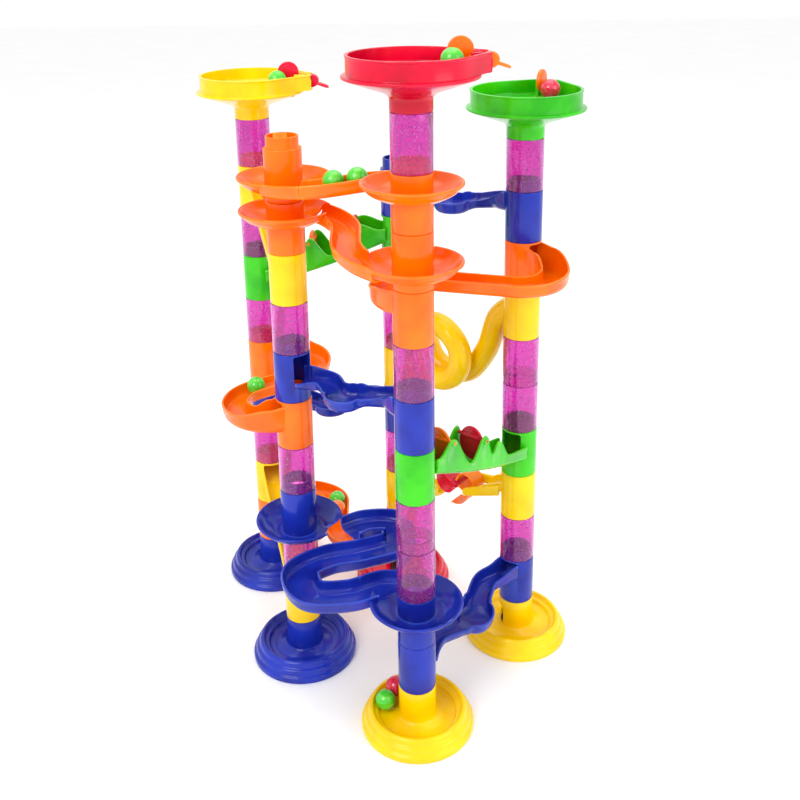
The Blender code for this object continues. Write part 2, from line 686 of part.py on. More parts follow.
# ---------------------------------------------------------------- funnels and gates
def funnel(tower):
    """Starting pan on a neck tube, with two cheeks that hold the gate lever."""
    count, colour = FUNNELS[tower][:2]
    foot = level(count + 1)
    centre = TOWERS[tower]
    body = lathe("pan", [
        (TUBE_R, foot), (TUBE_R, foot + 11.0), (19.0, foot + 13.0), (33.0, foot + 17.5), (FUNNEL_R, foot + 22.8),
        (FUNNEL_R, foot + 24.8), (FUNNEL_R - 3.4, foot + 26.2), (FUNNEL_R - 3.6, foot + PAN_RIM),
        (FUNNEL_R - 7.4, foot + PAN_RIM), (FUNNEL_R - 7.6, foot + 27.0), (30.0, foot + 23.0),
        (17.0, foot + 18.0), (BORE_R, foot + 14.5), (BORE_R, foot)], centre, 16)
    place = facing(TOWERS[tower], FUNNELS[tower][3])
    cheeks = [box("cheek", place, (FUNNEL_R - 8.0, PIN_REACH + 4.0), (side * 7.4, side * 4.9),
                  (foot + 24.1, foot + PAN_RIM - 0.7)) for side in (-1.0, 1.0)]
    for cheek in cheeks:
        combine(body, cheek, "UNION")
    combine(body, box("ledge", place, (22.0, FUNNEL_R - 5.0), (-19.0, 8.5), (foot + 20.0, foot + 26.4)), "UNION")
    slot = box("slot", place, (FUNNEL_R - 14.0, FUNNEL_R + 14.0), (-4.6, 4.6), (foot + 27.2, foot + PAN_RIM + 5.0))
    hole = disc("hole", place, (PIN_REACH, foot + PIN_Z), (1.7, 1.7), (-12.0, 12.0), 8)
    cut(body, [slot, hole])
    finish(body, f"funnel_{tower.lower()}", colour)


def gate_lever(tower):
    """Lever with a round stopper inside the pan and a thumb tongue outside."""
    count, _, colour = FUNNELS[tower][:3]
    foot = level(count + 1)
    place = facing(TOWERS[tower], FUNNELS[tower][3])
    pin_z = foot + PIN_Z
    stopper = disc("stopper", place, (PIN_REACH - 16.0, pin_z + 8.0), (9.2, 9.2), (-1.5, 1.5), 12)
    arm = box("arm", place, (PIN_REACH - 14.0, PIN_REACH + 3.0), (-1.9, 1.9), (pin_z - 1.8, pin_z + 3.4))
    knuckle = disc("knuckle", place, (PIN_REACH + 5.0, pin_z + 0.6), (5.6, 5.6), (-3.9, 3.9), 10)
    tongue = beam("tongue", place, [(PIN_REACH + 8.5, pin_z - 1.5), (PIN_REACH + 19.0, pin_z - 4.4)], 1.4, (-3.5, 3.5))
    pin = disc("pin", place, (PIN_REACH, pin_z), (1.3, 1.3), (-8.4, 8.4), 8)
    join([stopper, arm, knuckle, tongue, pin])
    finish(stopper, f"gate_lever_{tower.lower()}", colour, place(PIN_REACH, 0.0, pin_z))


# ---------------------------------------------------------------- marbles
def marbles():
    for tower, colour in GATE_MARBLES.items():
        place = facing(TOWERS[tower], FUNNELS[tower][3])
        marble(f"marble_gate_{tower.lower()}", colour, place(26.0, -10.4, level(FUNNELS[tower][0] + 1) + 34.9))
    for name, (colour, start, end, section, (t, w, z)) in TRACK_MARBLES.items():
        marble(name, colour, run_frame(start, end)[0](t, w, level(section) + z))
    for name, (colour, degrees) in BASE_MARBLES.items():
        marble(name, colour, facing(TOWERS["C"], degrees)(26.0, 0.0, 17.8))


def marble(name, colour, centre):
    """A loose glass-smooth ball."""
    work = bmesh.new()
    bmesh.ops.create_icosphere(work, subdivisions=2, radius=MARBLE_R * MM)
    mesh = bpy.data.meshes.new(name)
    work.to_mesh(mesh)
    work.free()
    made = bpy.data.objects.new(name, mesh)
    bpy.context.scene.collection.objects.link(made)
    made.location = Vector(centre) * MM
    mesh.materials.append(material(colour))
    mesh.shade_smooth()


def build_all():
    clear_scene()
    for tower in TOWERS:
        base(tower)
    for tower, sections in CLEAR_SECTIONS.items():
        for section in sections:
            clear_tube(tower, section)
    hairpin_bridge("hairpin_track_d1_a1", "D", 1, "A", 1)
    hairpin_bridge("hairpin_track_a5_b5", "A", 5, "B", 5)
    hairpin_bridge("hairpin_track_c8_e8", "C", 8, "E", 8)
    straight_slide("slide_a2_b1", "A", 2, "B", 1)
    straight_slide("slide_a9_b8", "A", 9, "B", 8)
    pocket_bridge("pocket_track_d4_a4", "D", 4, "A", 4)
    pocket_bridge("pocket_track_c6_b6", "C", 6, "B", 6)
    pocket_bridge("pocket_track_e1_c1", "E", 1, "C", 1)
    pocket_bridge("pocket_track_e9_d9", "E", 9, "D", 9)
    dish_bridge("dish_track_c10_b10", "C", 10, "B", 10, -1.0)
    dish_bridge("dish_track_b9_c9", "B", 9, "C", 9, 1.0)
    zigzag_bridge("zigzag_track_b3_c2", "B", 3, "C", 2)
    flap_bridge("flap_track_d8_a7", "D", 8, "A", 7, FLAP_SPOTS["A"])
    flap_bridge("flap_track_c5_e4", "C", 5, "E", 4, FLAP_SPOTS["E"])
    flap("flap_a_upper", "red", "D", 8, "A", 7, FLAP_SPOTS["A"][0])
    flap("flap_a_lower", "orange", "D", 8, "A", 7, FLAP_SPOTS["A"][1])
    flap("flap_e_upper", "orange", "C", 5, "E", 4, FLAP_SPOTS["E"][0])
    flap("flap_e_lower", "red", "C", 5, "E", 4, FLAP_SPOTS["E"][1])
    wheel_bridge("wheel_track_e3_d2", "E", 3, "D", 2)
    wheel("scoop_wheel", "E", 3, "D", 2)
    loop_tube("loop_tube_e7_d5", "E", 7, "D", 5)
    for tower in FUNNELS:
        funnel(tower)
        gate_lever(tower)
    marbles()


build_all()
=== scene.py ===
import math

import bmesh
import bpy
from mathutils import Matrix, Vector


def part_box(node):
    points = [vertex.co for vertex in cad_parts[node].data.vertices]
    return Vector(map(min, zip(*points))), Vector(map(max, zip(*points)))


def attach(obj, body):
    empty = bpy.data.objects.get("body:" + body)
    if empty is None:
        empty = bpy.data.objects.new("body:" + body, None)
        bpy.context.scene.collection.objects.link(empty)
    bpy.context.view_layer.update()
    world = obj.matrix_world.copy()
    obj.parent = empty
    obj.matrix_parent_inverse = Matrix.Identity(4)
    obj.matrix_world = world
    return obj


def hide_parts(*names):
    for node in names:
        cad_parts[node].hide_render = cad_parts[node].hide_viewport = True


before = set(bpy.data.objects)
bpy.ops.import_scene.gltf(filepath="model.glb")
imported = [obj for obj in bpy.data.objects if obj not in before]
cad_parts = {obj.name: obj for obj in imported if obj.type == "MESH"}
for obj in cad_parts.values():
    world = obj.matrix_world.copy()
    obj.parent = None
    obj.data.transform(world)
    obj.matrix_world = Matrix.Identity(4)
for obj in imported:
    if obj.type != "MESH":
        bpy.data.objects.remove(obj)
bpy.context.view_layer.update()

mm = 0.001  # shapes below are in millimetres and are scaled when a mesh is made
print("frame loaded:", len(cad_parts), "nodes")


# the layout, read from the frame
def middleOf(node):
    low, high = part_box(node)
    return (low.x + high.x) * 0.5 / mm, (low.y + high.y) * 0.5 / mm


towers = {letter.upper(): middleOf("base_" + letter) for letter in "abcde"}
module = (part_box("clear_tube_c11")[0].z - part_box("clear_tube_a3")[0].z) / 8.0 / mm
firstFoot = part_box("clear_tube_a3")[0].z / mm - 2.0 * module

tube = {
    "radius": 15.0, "bore": 13.3, "neck": 12.9, "neckBore": 11.3, "neckHeight": 9.0, "socket": 14.0,
    "gap": 0.3, "edge": 0.7, "sides": 72, "windowHalf": 9.2, "windowCorner": 2.0, "windowDrop": 1.6,
    "floorRadius": 13.0, "floorFall": 1.2, "floorThick": 2.0,
}


def level(section):
    return firstFoot + (section - 1) * module


def facing(centre, degrees):  # outwards, across to the left, up
    ux, uy = math.cos(math.radians(degrees)), math.sin(math.radians(degrees))
    return lambda t, w, z: (centre[0] + t * ux - w * uy, centre[1] + t * uy + w * ux, z)


def runBetween(start, end):  # frame of a bridge, its length and its heading
    (x0, y0), (x1, y1) = towers[start], towers[end]
    heading = math.degrees(math.atan2(y1 - y0, x1 - x0))
    return facing((x0, y0), heading), math.hypot(x1 - x0, y1 - y0), heading


# numbers along a run
def eased(knots, share):  # smooth value between (share, value) knots
    if not isinstance(knots, list):
        return knots
    if share <= knots[0][0]:
        return knots[0][1]
    for (s0, v0), (s1, v1) in zip(knots, knots[1:]):
        if share <= s1:
            k = (share - s0) / (s1 - s0)
            return v0 + (v1 - v0) * (0.5 - 0.5 * math.cos(math.pi * k))
    return knots[-1][1]


def arcPoints(centre, radius, first, last, steps):
    turns = [math.radians(first + (last - first) * k / steps) for k in range(steps + 1)]
    return [(centre[0] + radius * math.cos(a), centre[1] + radius * math.sin(a)) for a in turns]


def smoothLine(points, perPiece):
    guard = [points[0]] + list(points) + [points[-1]]
    line = []
    for a, b, c, d in zip(guard, guard[1:], guard[2:], guard[3:]):
        for k in range(perPiece):
            s = k / perPiece
            line.append(tuple(
                0.5 * (2 * q + (r - p) * s
                       + (2 * p - 5 * q + 4 * r - v) * s * s
                       + (3 * q - p - 3 * r + v) * s ** 3)
                for p, q, r, v in zip(a, b, c, d)))
    line.append(tuple(points[-1]))
    return line


def distances(line):
    total = [0.0]
    for a, b in zip(line, line[1:]):
        total.append(total[-1] + math.hypot(b[0] - a[0], b[1] - a[1]))
    return total


def resampled(line, step):  # the same plan line with even spacing
    total = distances(line)
    count = max(2, round(total[-1] / step))
    made, index = [], 0
    for k in range(count + 1):
        want = total[-1] * k / count
        while index < len(line) - 2 and total[index + 1] < want:
            index += 1
        share = (want - total[index]) / max(total[index + 1] - total[index], 1e-9)
        made.append(tuple(p + (q - p) * share for p, q in zip(line[index], line[index + 1])))
    return made


def graded(flat, zFirst, zLast):
    total = distances(flat)
    return [(p[0], p[1], zFirst + (zLast - zFirst) * s / total[-1]) for p, s in zip(flat, total)]


# meshes
def makeMesh(name, verts, faces):
    mesh = bpy.data.meshes.new(name)
    mesh.from_pydata([Vector(v) * mm for v in verts], [], faces)
    work = bmesh.new()
    work.from_mesh(mesh)
    bmesh.ops.recalc_face_normals(work, faces=work.faces)
    work.to_mesh(mesh)
    work.free()
    return mesh


def softened(outline, steps=4):  # round each corner (x, y, radius) of a closed outline
    made = []
    for index, (x, y, radius) in enumerate(outline):
        corner = Vector((x, y))
        back = Vector(outline[index - 1][:2]) - corner
        ahead = Vector(outline[(index + 1) % len(outline)][:2]) - corner
        reach = min(radius, back.length * 0.48, ahead.length * 0.48)
        if reach < 0.02:
            made.append((x, y))
            continue
        first, last = corner + back.normalized() * reach, corner + ahead.normalized() * reach
        for k in range(steps + 1):
            s = k / steps
            made.append(tuple(first * (1 - s) ** 2 + corner * 2 * s * (1 - s) + last * s * s))
    return made


def turned(name, outline, centre, sides=72, shape=None):  # a closed (radius, height) outline about an axis
    verts, count = [], len(outline)
    for step in range(sides):
        angle = 2.0 * math.pi * step / sides
        for radius, height in outline:
            r = shape(radius, height, angle) if shape else radius
            verts.append((centre[0] + r * math.cos(angle), centre[1] + r * math.sin(angle), height))
    faces = []
    for step in range(sides):
        here, there = step * count, ((step + 1) % sides) * count
        for k in range(count):
            ahead = (k + 1) % count
            faces.append((here + k, there + k, there + ahead, here + ahead))
    return makeMesh(name, verts, faces)


def loft(name, rings):  # closed rings joined in order, capped at both ends
    count = len(rings[0])
    verts = [point for ring in rings for point in ring]
    faces = [tuple(range(count)), tuple(range(len(verts) - count, len(verts)))]
    for index in range(len(rings) - 1):
        low, high = index * count, (index + 1) * count
        faces += [(low + k, low + (k + 1) % count, high + (k + 1) % count, high + k) for k in range(count)]
    return makeMesh(name, verts, faces)


def spindle(name, place, centre, stations, tall=1.0, sides=36):  # round body whose axis runs across
    rings = []
    for w, radius in stations:
        rings.append([place(
            centre[0] + radius * math.cos(2.0 * math.pi * k / sides), w,
            centre[1] + radius * tall * math.sin(2.0 * math.pi * k / sides)) for k in range(sides)])
    return loft(name, rings)


def plateStations(radius, w0, w1, edge):  # a disc with rounded edges
    turns = [math.pi / 2 * k / 4 for k in range(5)]
    first = [(w0 + edge * (1 - math.cos(a)), radius - edge * (1 - math.sin(a))) for a in turns]
    last = [(w1 + w0 - w, r) for w, r in reversed(first)]
    return first + last


def bar(name, place, line, halfHigh, wRange, edge=0.9):  # rounded bar that follows a line in an upright plane
    rings = []
    for t, z, scale in line:
        high = halfHigh * scale
        outline = softened([(wRange[0], -high, edge), (wRange[1], -high, edge), (wRange[1], high, edge),
                            (wRange[0], high, edge)], 3)
        rings.append([place(t, w, z + b) for w, b in outline])
    return loft(name, rings)


def booleaned(mesh, cutters):  # the mesh with the cutters taken out
    target = bpy.data.objects.new("target", mesh)
    bpy.context.scene.collection.objects.link(target)
    for cutterMesh in cutters:
        cutter = bpy.data.objects.new("cutter", cutterMesh)
        bpy.context.scene.collection.objects.link(cutter)
        step = target.modifiers.new("cut", "BOOLEAN")
        step.operation = "DIFFERENCE"
        step.solver = "EXACT"
        step.object = cutter
        bpy.context.view_layer.update()
        shaped = bpy.data.meshes.new_from_object(target.evaluated_get(bpy.context.evaluated_depsgraph_get()))
        target.modifiers.clear()
        target.data = shaped
        bpy.data.objects.remove(cutter)
    made = target.data
    bpy.data.objects.remove(target)
    return made


creaseAngle = math.radians(38.0)


def place3d(name, meshes, finish, body, node=None):  # join, colour and put a piece on its body
    work = bmesh.new()
    for mesh in meshes:
        work.from_mesh(mesh)
    bmesh.ops.recalc_face_normals(work, faces=work.faces)
    joined = bpy.data.meshes.new(name)
    work.to_mesh(joined)
    work.free()
    joined.materials.clear()
    joined.materials.append(plastics[finish])
    for face in joined.polygons:
        face.material_index = 0
    joined.shade_smooth()
    joined.set_sharp_from_angle(angle=creaseAngle)
    piece = bpy.data.objects.new(name, joined)
    bpy.context.scene.collection.objects.link(piece)
    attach(piece, body)
    if node:
        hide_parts(node)
    return piece


# shader groups
def newGroup(name, inputs, outputs):
    tree = bpy.data.node_groups.new(name, "ShaderNodeTree")
    kinds = {"color": "NodeSocketColor", "value": "NodeSocketFloat"}
    for label, kind in inputs:
        tree.interface.new_socket(name=label, in_out="INPUT", socket_type=kinds[kind])
    for label, kind in outputs:
        tree.interface.new_socket(name=label, in_out="OUTPUT", socket_type=kinds[kind])
    return tree, tree.nodes.new("NodeGroupInput"), tree.nodes.new("NodeGroupOutput")


def addNode(tree, kind, **values):
    node = tree.nodes.new(kind)
    for key, value in values.items():
        setattr(node, key, value)
    return node


def addMath(tree, operation, first, second=None, clamp=False):
    node = addNode(tree, "ShaderNodeMath", operation=operation, use_clamp=clamp)
    for index, value in enumerate((first, second)):
        if value is None:
            continue
        if isinstance(value, (int, float)):
            node.inputs[index].default_value = value
        else:
            tree.links.new(value, node.inputs[index])
    return node.outputs[0]


def addMix(tree, amount, first, second):
    node = addNode(tree, "ShaderNodeMix", data_type="RGBA")
    for socket, value in ((node.inputs[0], amount), (node.inputs[6], first), (node.inputs[7], second)):
        if isinstance(value, (int, float, tuple)):
            socket.default_value = value
        else:
            tree.links.new(value, socket)
    return node.outputs[2]


def addNoise(tree, vector, scale, detail=3.0, stretch=None):
    if stretch:
        mapping = addNode(tree, "ShaderNodeMapping")
        mapping.inputs["Scale"].default_value = stretch
        mapping.inputs["Rotation"].default_value = (0.4, 0.7, 0.2)
        tree.links.new(vector, mapping.inputs["Vector"])
        vector = mapping.outputs["Vector"]
    noise = addNode(tree, "ShaderNodeTexNoise")
    noise.inputs["Scale"].default_value = scale
    noise.inputs["Detail"].default_value = detail
    tree.links.new(vector, noise.inputs["Vector"])
    return noise.outputs["Fac"]


def addStep(tree, value, low, high):  # 0 below low, 1 above high
    node = addNode(tree, "ShaderNodeMapRange", interpolation_type="SMOOTHSTEP")
    node.inputs["From Min"].default_value = low
    node.inputs["From Max"].default_value = high
    tree.links.new(value, node.inputs["Value"])
    return node.outputs["Result"]


def mouldedSurface():  # colour drift, painted highlight on edges, painted shade in creases, hairline scratches, dust and a fine skin
    tree, given, out = newGroup("mouldedSurface", [
        ("Base", "color"), ("Deep", "color"), ("Pale", "color"), ("Gloss", "value"), ("EdgeShine", "value")],
        [("Color", "color"), ("Roughness", "value"), ("Height", "value")])
    spot = addNode(tree, "ShaderNodeTexCoord").outputs["Object"]
    shape = addNode(tree, "ShaderNodeNewGeometry")
    drift = addStep(tree, addNoise(tree, spot, 28.0, 4.0), 0.35, 0.7)
    body = addMix(tree, drift, given.outputs["Base"], given.outputs["Deep"])
    # painted highlight: convex edges are lightened towards the pale colour
    raised = addStep(tree, shape.outputs["Pointiness"], 0.52, 0.62)
    edge = addMath(tree, "MULTIPLY", raised, given.outputs["EdgeShine"])
    # painted shade: concave creases are darkened towards the deep colour
    creaseShade = addStep(tree, shape.outputs["Pointiness"], 0.49, 0.42)
    paled = addMix(tree, edge, body, given.outputs["Pale"])
    shaded = addMix(tree, addMath(tree, "MULTIPLY", creaseShade, 0.35), paled, given.outputs["Deep"])
    scratch = addStep(tree, addNoise(tree, spot, 60.0, 2.0, (1.0, 14.0, 9.0)), 0.73, 0.77)
    split = addNode(tree, "ShaderNodeSeparateXYZ")
    tree.links.new(shape.outputs["Normal"], split.inputs[0])
    upward = addStep(tree, split.outputs["Z"], 0.55, 0.95)
    dust = addMath(tree, "MULTIPLY", upward, addStep(tree, addNoise(tree, spot, 420.0, 3.0), 0.55, 0.75))
    tree.links.new(shaded, out.inputs["Color"])
    cloud = addMath(tree, "MULTIPLY", addNoise(tree, spot, 90.0, 4.0), 0.10)
    rough = addMath(tree, "ADD", given.outputs["Gloss"], cloud)
    rough = addMath(tree, "ADD", rough, addMath(tree, "MULTIPLY", scratch, 0.12))
    rough = addMath(tree, "ADD", rough, addMath(tree, "MULTIPLY", dust, 0.08), True)
    tree.links.new(rough, out.inputs["Roughness"])
    skin = addMath(tree, "MULTIPLY", addNoise(tree, spot, 700.0, 2.0), 0.35)
    wave = addMath(tree, "MULTIPLY", addNoise(tree, spot, 45.0, 1.0), 0.6)
    fine = addMath(tree, "ADD", skin, wave)
    height = addMath(tree, "SUBTRACT", fine, addMath(tree, "MULTIPLY", scratch, 0.5))
    tree.links.new(height, out.inputs["Height"])
    return tree


def glitterFlecks():  # flakes cast inside clear plastic
    tree, given, out = newGroup("glitterFlecks", [("Scale", "value"), ("Amount", "value")],
                                [("Mask", "value"), ("Tint", "color"), ("Height", "value")])
    spot = addNode(tree, "ShaderNodeTexCoord").outputs["Object"]
    cells = addNode(tree, "ShaderNodeTexVoronoi")
    tree.links.new(spot, cells.inputs["Vector"])
    tree.links.new(given.outputs["Scale"], cells.inputs["Scale"])
    split = addNode(tree, "ShaderNodeSeparateColor")
    tree.links.new(cells.outputs["Color"], split.inputs[0])
    chosen = addMath(tree, "LESS_THAN", split.outputs[0], given.outputs["Amount"])
    near = addMath(tree, "LESS_THAN", cells.outputs["Distance"], 0.42)
    mask = addMath(tree, "MULTIPLY", chosen, near)
    tree.links.new(mask, out.inputs["Mask"])
    paleFlake, darkFlake = (1.0, 0.72, 0.97, 1.0), (0.30, 0.0, 0.34, 1.0)
    tree.links.new(addMix(tree, split.outputs[1], paleFlake, darkFlake), out.inputs["Tint"])
    slope = addMath(tree, "MULTIPLY", split.outputs[2], cells.outputs["Distance"])
    tilt = addMath(tree, "MULTIPLY", slope, mask)
    tree.links.new(tilt, out.inputs["Height"])
    return tree


def glassSwirl():  # ribbons of colour inside a marble
    tree, given, out = newGroup("glassSwirl", [("Base", "color"), ("Ribbon", "color"), ("Twist", "value")],
                                [("Color", "color"), ("Roughness", "value"), ("Height", "value")])
    spot = addNode(tree, "ShaderNodeTexCoord").outputs["Object"]
    wave = addNode(tree, "ShaderNodeTexWave", wave_type="BANDS")
    wave.inputs["Scale"].default_value = 38.0
    wave.inputs["Detail"].default_value = 3.0
    tree.links.new(given.outputs["Twist"], wave.inputs["Distortion"])
    tree.links.new(spot, wave.inputs["Vector"])
    ribbon = addStep(tree, wave.outputs["Fac"], 0.55, 0.95)
    tree.links.new(addMix(tree, addMath(tree, "MULTIPLY", ribbon, 0.35), given.outputs["Base"],
                          given.outputs["Ribbon"]), out.inputs["Color"])
    pits = addStep(tree, addNoise(tree, spot, 900.0, 2.0), 0.66, 0.72)
    tree.links.new(addMath(tree, "ADD", addMath(tree, "MULTIPLY", pits, 0.25), 0.05), out.inputs["Roughness"])
    tree.links.new(addMath(tree, "MULTIPLY", pits, -0.4), out.inputs["Height"])
    return tree


groups = {"moulded": mouldedSurface(), "glitter": glitterFlecks(), "swirl": glassSwirl()}


def newMaterial(name):
    made = bpy.data.materials.new(name)
    made.use_nodes = True
    return made, made.node_tree, made.node_tree.nodes["Principled BSDF"]


def addBump(tree, shader, height, strength, distance):
    bump = addNode(tree, "ShaderNodeBump")
    bump.inputs["Strength"].default_value = strength
    bump.inputs["Distance"].default_value = distance
    tree.links.new(height, bump.inputs["Height"])
    tree.links.new(bump.outputs["Normal"], shader.inputs["Normal"])


plasticColours = {  # base colour, deep colour (also the painted crease shade), pale colour of the painted edge highlight, gloss, strength of the painted edge highlight
    "orange": ((1.0, 0.185, 0.0), (0.94, 0.125, 0.0), (1.0, 0.38, 0.02), 0.14, 0.5),
    "yellow": ((0.97, 0.67, 0.0), (0.90, 0.53, 0.0), (1.0, 0.88, 0.12), 0.14, 0.45),
    "blue": ((0.011, 0.032, 0.43), (0.006, 0.014, 0.25), (0.09, 0.19, 0.86), 0.13, 0.6),
    "green": ((0.045, 0.60, 0.004), (0.016, 0.40, 0.002), (0.28, 0.86, 0.06), 0.14, 0.5),
    "red": ((0.76, 0.0, 0.034), (0.52, 0.0, 0.02), (0.98, 0.07, 0.16), 0.14, 0.5),
}


def mouldedPlastic(name, base, deep, pale, gloss, edgeShine):
    made, tree, shader = newMaterial(name)
    skin = addNode(tree, "ShaderNodeGroup", node_tree=groups["moulded"])
    for label, value in (("Base", base), ("Deep", deep), ("Pale", pale)):
        skin.inputs[label].default_value = (*value, 1.0)
    skin.inputs["Gloss"].default_value = gloss
    skin.inputs["EdgeShine"].default_value = edgeShine
    tree.links.new(skin.outputs["Color"], shader.inputs["Base Color"])
    tree.links.new(skin.outputs["Roughness"], shader.inputs["Roughness"])
    addBump(tree, shader, skin.outputs["Height"], 0.12, 0.0004)
    shader.inputs["Coat Weight"].default_value = 0.08
    shader.inputs["Coat Roughness"].default_value = 0.05
    shader.inputs["Specular IOR Level"].default_value = 0.32
    return made


def glitterPlastic():
    look = {"clear": (0.86, 0.13, 0.66), "scale": 640.0, "amount": 0.46, "transmission": 0.9}
    made, tree, shader = newMaterial("glitterPlastic")
    flecks = addNode(tree, "ShaderNodeGroup", node_tree=groups["glitter"])
    flecks.inputs["Scale"].default_value = look["scale"]
    flecks.inputs["Amount"].default_value = look["amount"]
    colour = addMix(tree, flecks.outputs["Mask"], (*look["clear"], 1.0), flecks.outputs["Tint"])
    tree.links.new(colour, shader.inputs["Base Color"])
    spot = addNode(tree, "ShaderNodeTexCoord").outputs["Object"]
    rough = addMath(tree, "ADD", addMath(tree, "MULTIPLY", flecks.outputs["Mask"], 0.2), 0.04)
    rough = addMath(tree, "ADD", rough, addMath(tree, "MULTIPLY", addNoise(tree, spot, 80.0), 0.06))
    tree.links.new(rough, shader.inputs["Roughness"])
    addBump(tree, shader, flecks.outputs["Height"], 0.6, 0.0006)
    shader.inputs["Transmission Weight"].default_value = look["transmission"]
    shader.inputs["IOR"].default_value = 1.35
    shader.inputs["Coat Weight"].default_value = 0.5
    shader.inputs["Coat Roughness"].default_value = 0.03
    return made


marbleColours = {
    "green": ((0.06, 0.58, 0.02), (0.22, 0.80, 0.10)),
    "red": ((0.72, 0.006, 0.05), (0.95, 0.08, 0.12)),
    "orange": ((1.0, 0.20, 0.01), (1.0, 0.38, 0.05)),
}


def marbleGlass(name, base, ribbon):
    made, tree, shader = newMaterial(name)
    swirl = addNode(tree, "ShaderNodeGroup", node_tree=groups["swirl"])
    swirl.inputs["Base"].default_value = (*base, 1.0)
    swirl.inputs["Ribbon"].default_value = (*ribbon, 1.0)
    swirl.inputs["Twist"].default_value = 9.0
    tree.links.new(swirl.outputs["Color"], shader.inputs["Base Color"])
    tree.links.new(swirl.outputs["Roughness"], shader.inputs["Roughness"])
    addBump(tree, shader, swirl.outputs["Height"], 0.2, 0.0003)
    shader.inputs["Coat Weight"].default_value = 0.4
    shader.inputs["Coat Roughness"].default_value = 0.02
    shader.inputs["IOR"].default_value = 1.52
    return made


plastics = {name: mouldedPlastic(name + "Plastic", *values) for name, values in plasticColours.items()}
plastics["pink"] = glitterPlastic()
marbleLooks = {name: marbleGlass(name + "Marble", *values) for name, values in marbleColours.items()}
print("materials made:", len(plastics) + len(marbleLooks))


# tube sections
def sectionMesh(tower, section, floorHeight=None, key=False, lean=None):
    foot, edge = level(section), tube["edge"]
    shoulder, top = foot + module - tube["gap"], foot + module + tube["neckHeight"]
    outline = softened([
        (tube["radius"], foot, edge), (tube["radius"], shoulder, edge), (tube["neck"], shoulder, 0.3),
        (tube["neck"], top, 0.9), (tube["neckBore"], top, 0.5), (tube["neckBore"], shoulder - 1.0, 1.0),
        (tube["bore"], foot + tube["socket"], 0.6), (tube["bore"], foot, 0.4)])
    meshes = [turned("section", outline, towers[tower], tube["sides"])]
    if key:
        ring = []
        turns = (-24, -12, 0, 12, 24)
        for radius, order in ((tube["neck"] - 0.1, turns), (tube["neckBore"] + 0.1, turns[::-1])):
            for turn in order:
                a = math.radians(turn - 90.0)
                x, y = towers[tower]
                ring.append((x + radius * math.cos(a), y + radius * math.sin(a)))
        heights = (top - 1.0, top + 2.6, top + 4.0)
        meshes.append(loft("key", [[(x, y, z) for x, y in ring] for z in heights]))
    if floorHeight is not None:  # the floor that turns marbles out
        heading = lean if lean is not None else -90.0
        place = facing(towers[tower], heading)
        wide, fall = tube["floorRadius"], tube["floorFall"]
        turns = [2.0 * math.pi * k / 48 for k in range(48)]
        rings = []
        for drop in (tube["floorThick"], 0.0):
            high = foot + floorHeight + fall - drop
            rings.append([place(wide * math.cos(a), wide * math.sin(a), high - fall * math.cos(a))
                          for a in turns])
        meshes.append(loft("floor", rings))
    return meshes


def windowCutter(tower, heading, zLow, section):
    place = facing(towers[tower], heading)
    wide, corner = tube["windowHalf"], tube["windowCorner"]
    zHigh = level(section) + module - tube["windowDrop"]
    outline = softened([
        (-wide, zLow, 0.8), (wide, zLow, 0.8), (wide, zHigh, corner), (-wide, zHigh, corner)], 5)
    return loft("window", [[place(t, w, z) for w, z in outline] for t in (2.0, 19.0)])


clearSections = {"A": (3, 6, 8, 10), "B": (2, 4, 7), "C": (3, 4, 7, 11), "D": (3, 6, 7), "E": (2, 5, 6, 10)}
for tower, sections in clearSections.items():
    for section in sections:
        node = f"clear_tube_{tower.lower()}{section}"
        place3d(node + "_shell", sectionMesh(tower, section), "pink", "frame", node)
print("clear sections made")


# bases
baseLook = {"colours": {"A": "blue", "B": "blue", "C": "yellow", "D": "red", "E": "yellow"},
            "exits": {"A": 60.0, "B": 70.0, "C": 150.0, "D": 250.0, "E": 178.0}}


def baseMesh(tower):
    post, edge = firstFoot - tube["gap"], 0.7
    outline = softened([
        (45.2, 0.0, 0.6), (45.2, 4.6, 2.0), (42.9, 6.0, 1.2), (42.5, 10.2, 1.8), (39.9, 11.6, 1.2),
        (39.4, 15.0, 1.4), (37.8, 16.5, 1.2), (36.0, 16.5, 0.9), (34.4, 13.0, 2.5), (31.6, 12.2, 1.0),
        (30.4, 9.0, 2.0), (24.0, 7.6, 5.0), (15.6, 10.8, 3.0), (15.0, 14.5, 2.0), (15.0, post, edge),
        (12.5, post, 0.3), (12.5, post + 9.2, 0.9),
        (11.0, post + 9.2, 0.5), (13.3, 8.6, 0.8), (38.0, 5.2, 1.0), (41.2, 0.0, 0.4)])
    body = turned("base", outline, towers[tower], 96)
    place = facing(towers[tower], baseLook["exits"][tower])
    arch = softened([(-9.2, 11.6, 0.6), (9.2, 11.6, 0.6), (9.2, 30.0, 5.0), (-9.2, 30.0, 5.0)], 6)
    gate = loft("gate", [[place(t, w, z) for w, z in arch] for t in (2.0, 19.0)])
    return [booleaned(body, [gate])]


for tower, colour in baseLook["colours"].items():
    node = f"base_{tower.lower()}"
    place3d(node + "_moulding", baseMesh(tower), colour, "frame", node)
print("bases made")


# tracks
track = {"half": 9.5, "wall": 1.6, "floor": 1.8, "lip": 0.5, "step": 2.0, "start": 9.0}


def acrossAt(path, index):
    before, after = path[max(index - 1, 0)], path[min(index + 1, len(path) - 1)]
    dt, dw = after[0] - before[0], after[1] - before[1]
    length = math.hypot(dt, dw)
    return -dw / length, dt / length


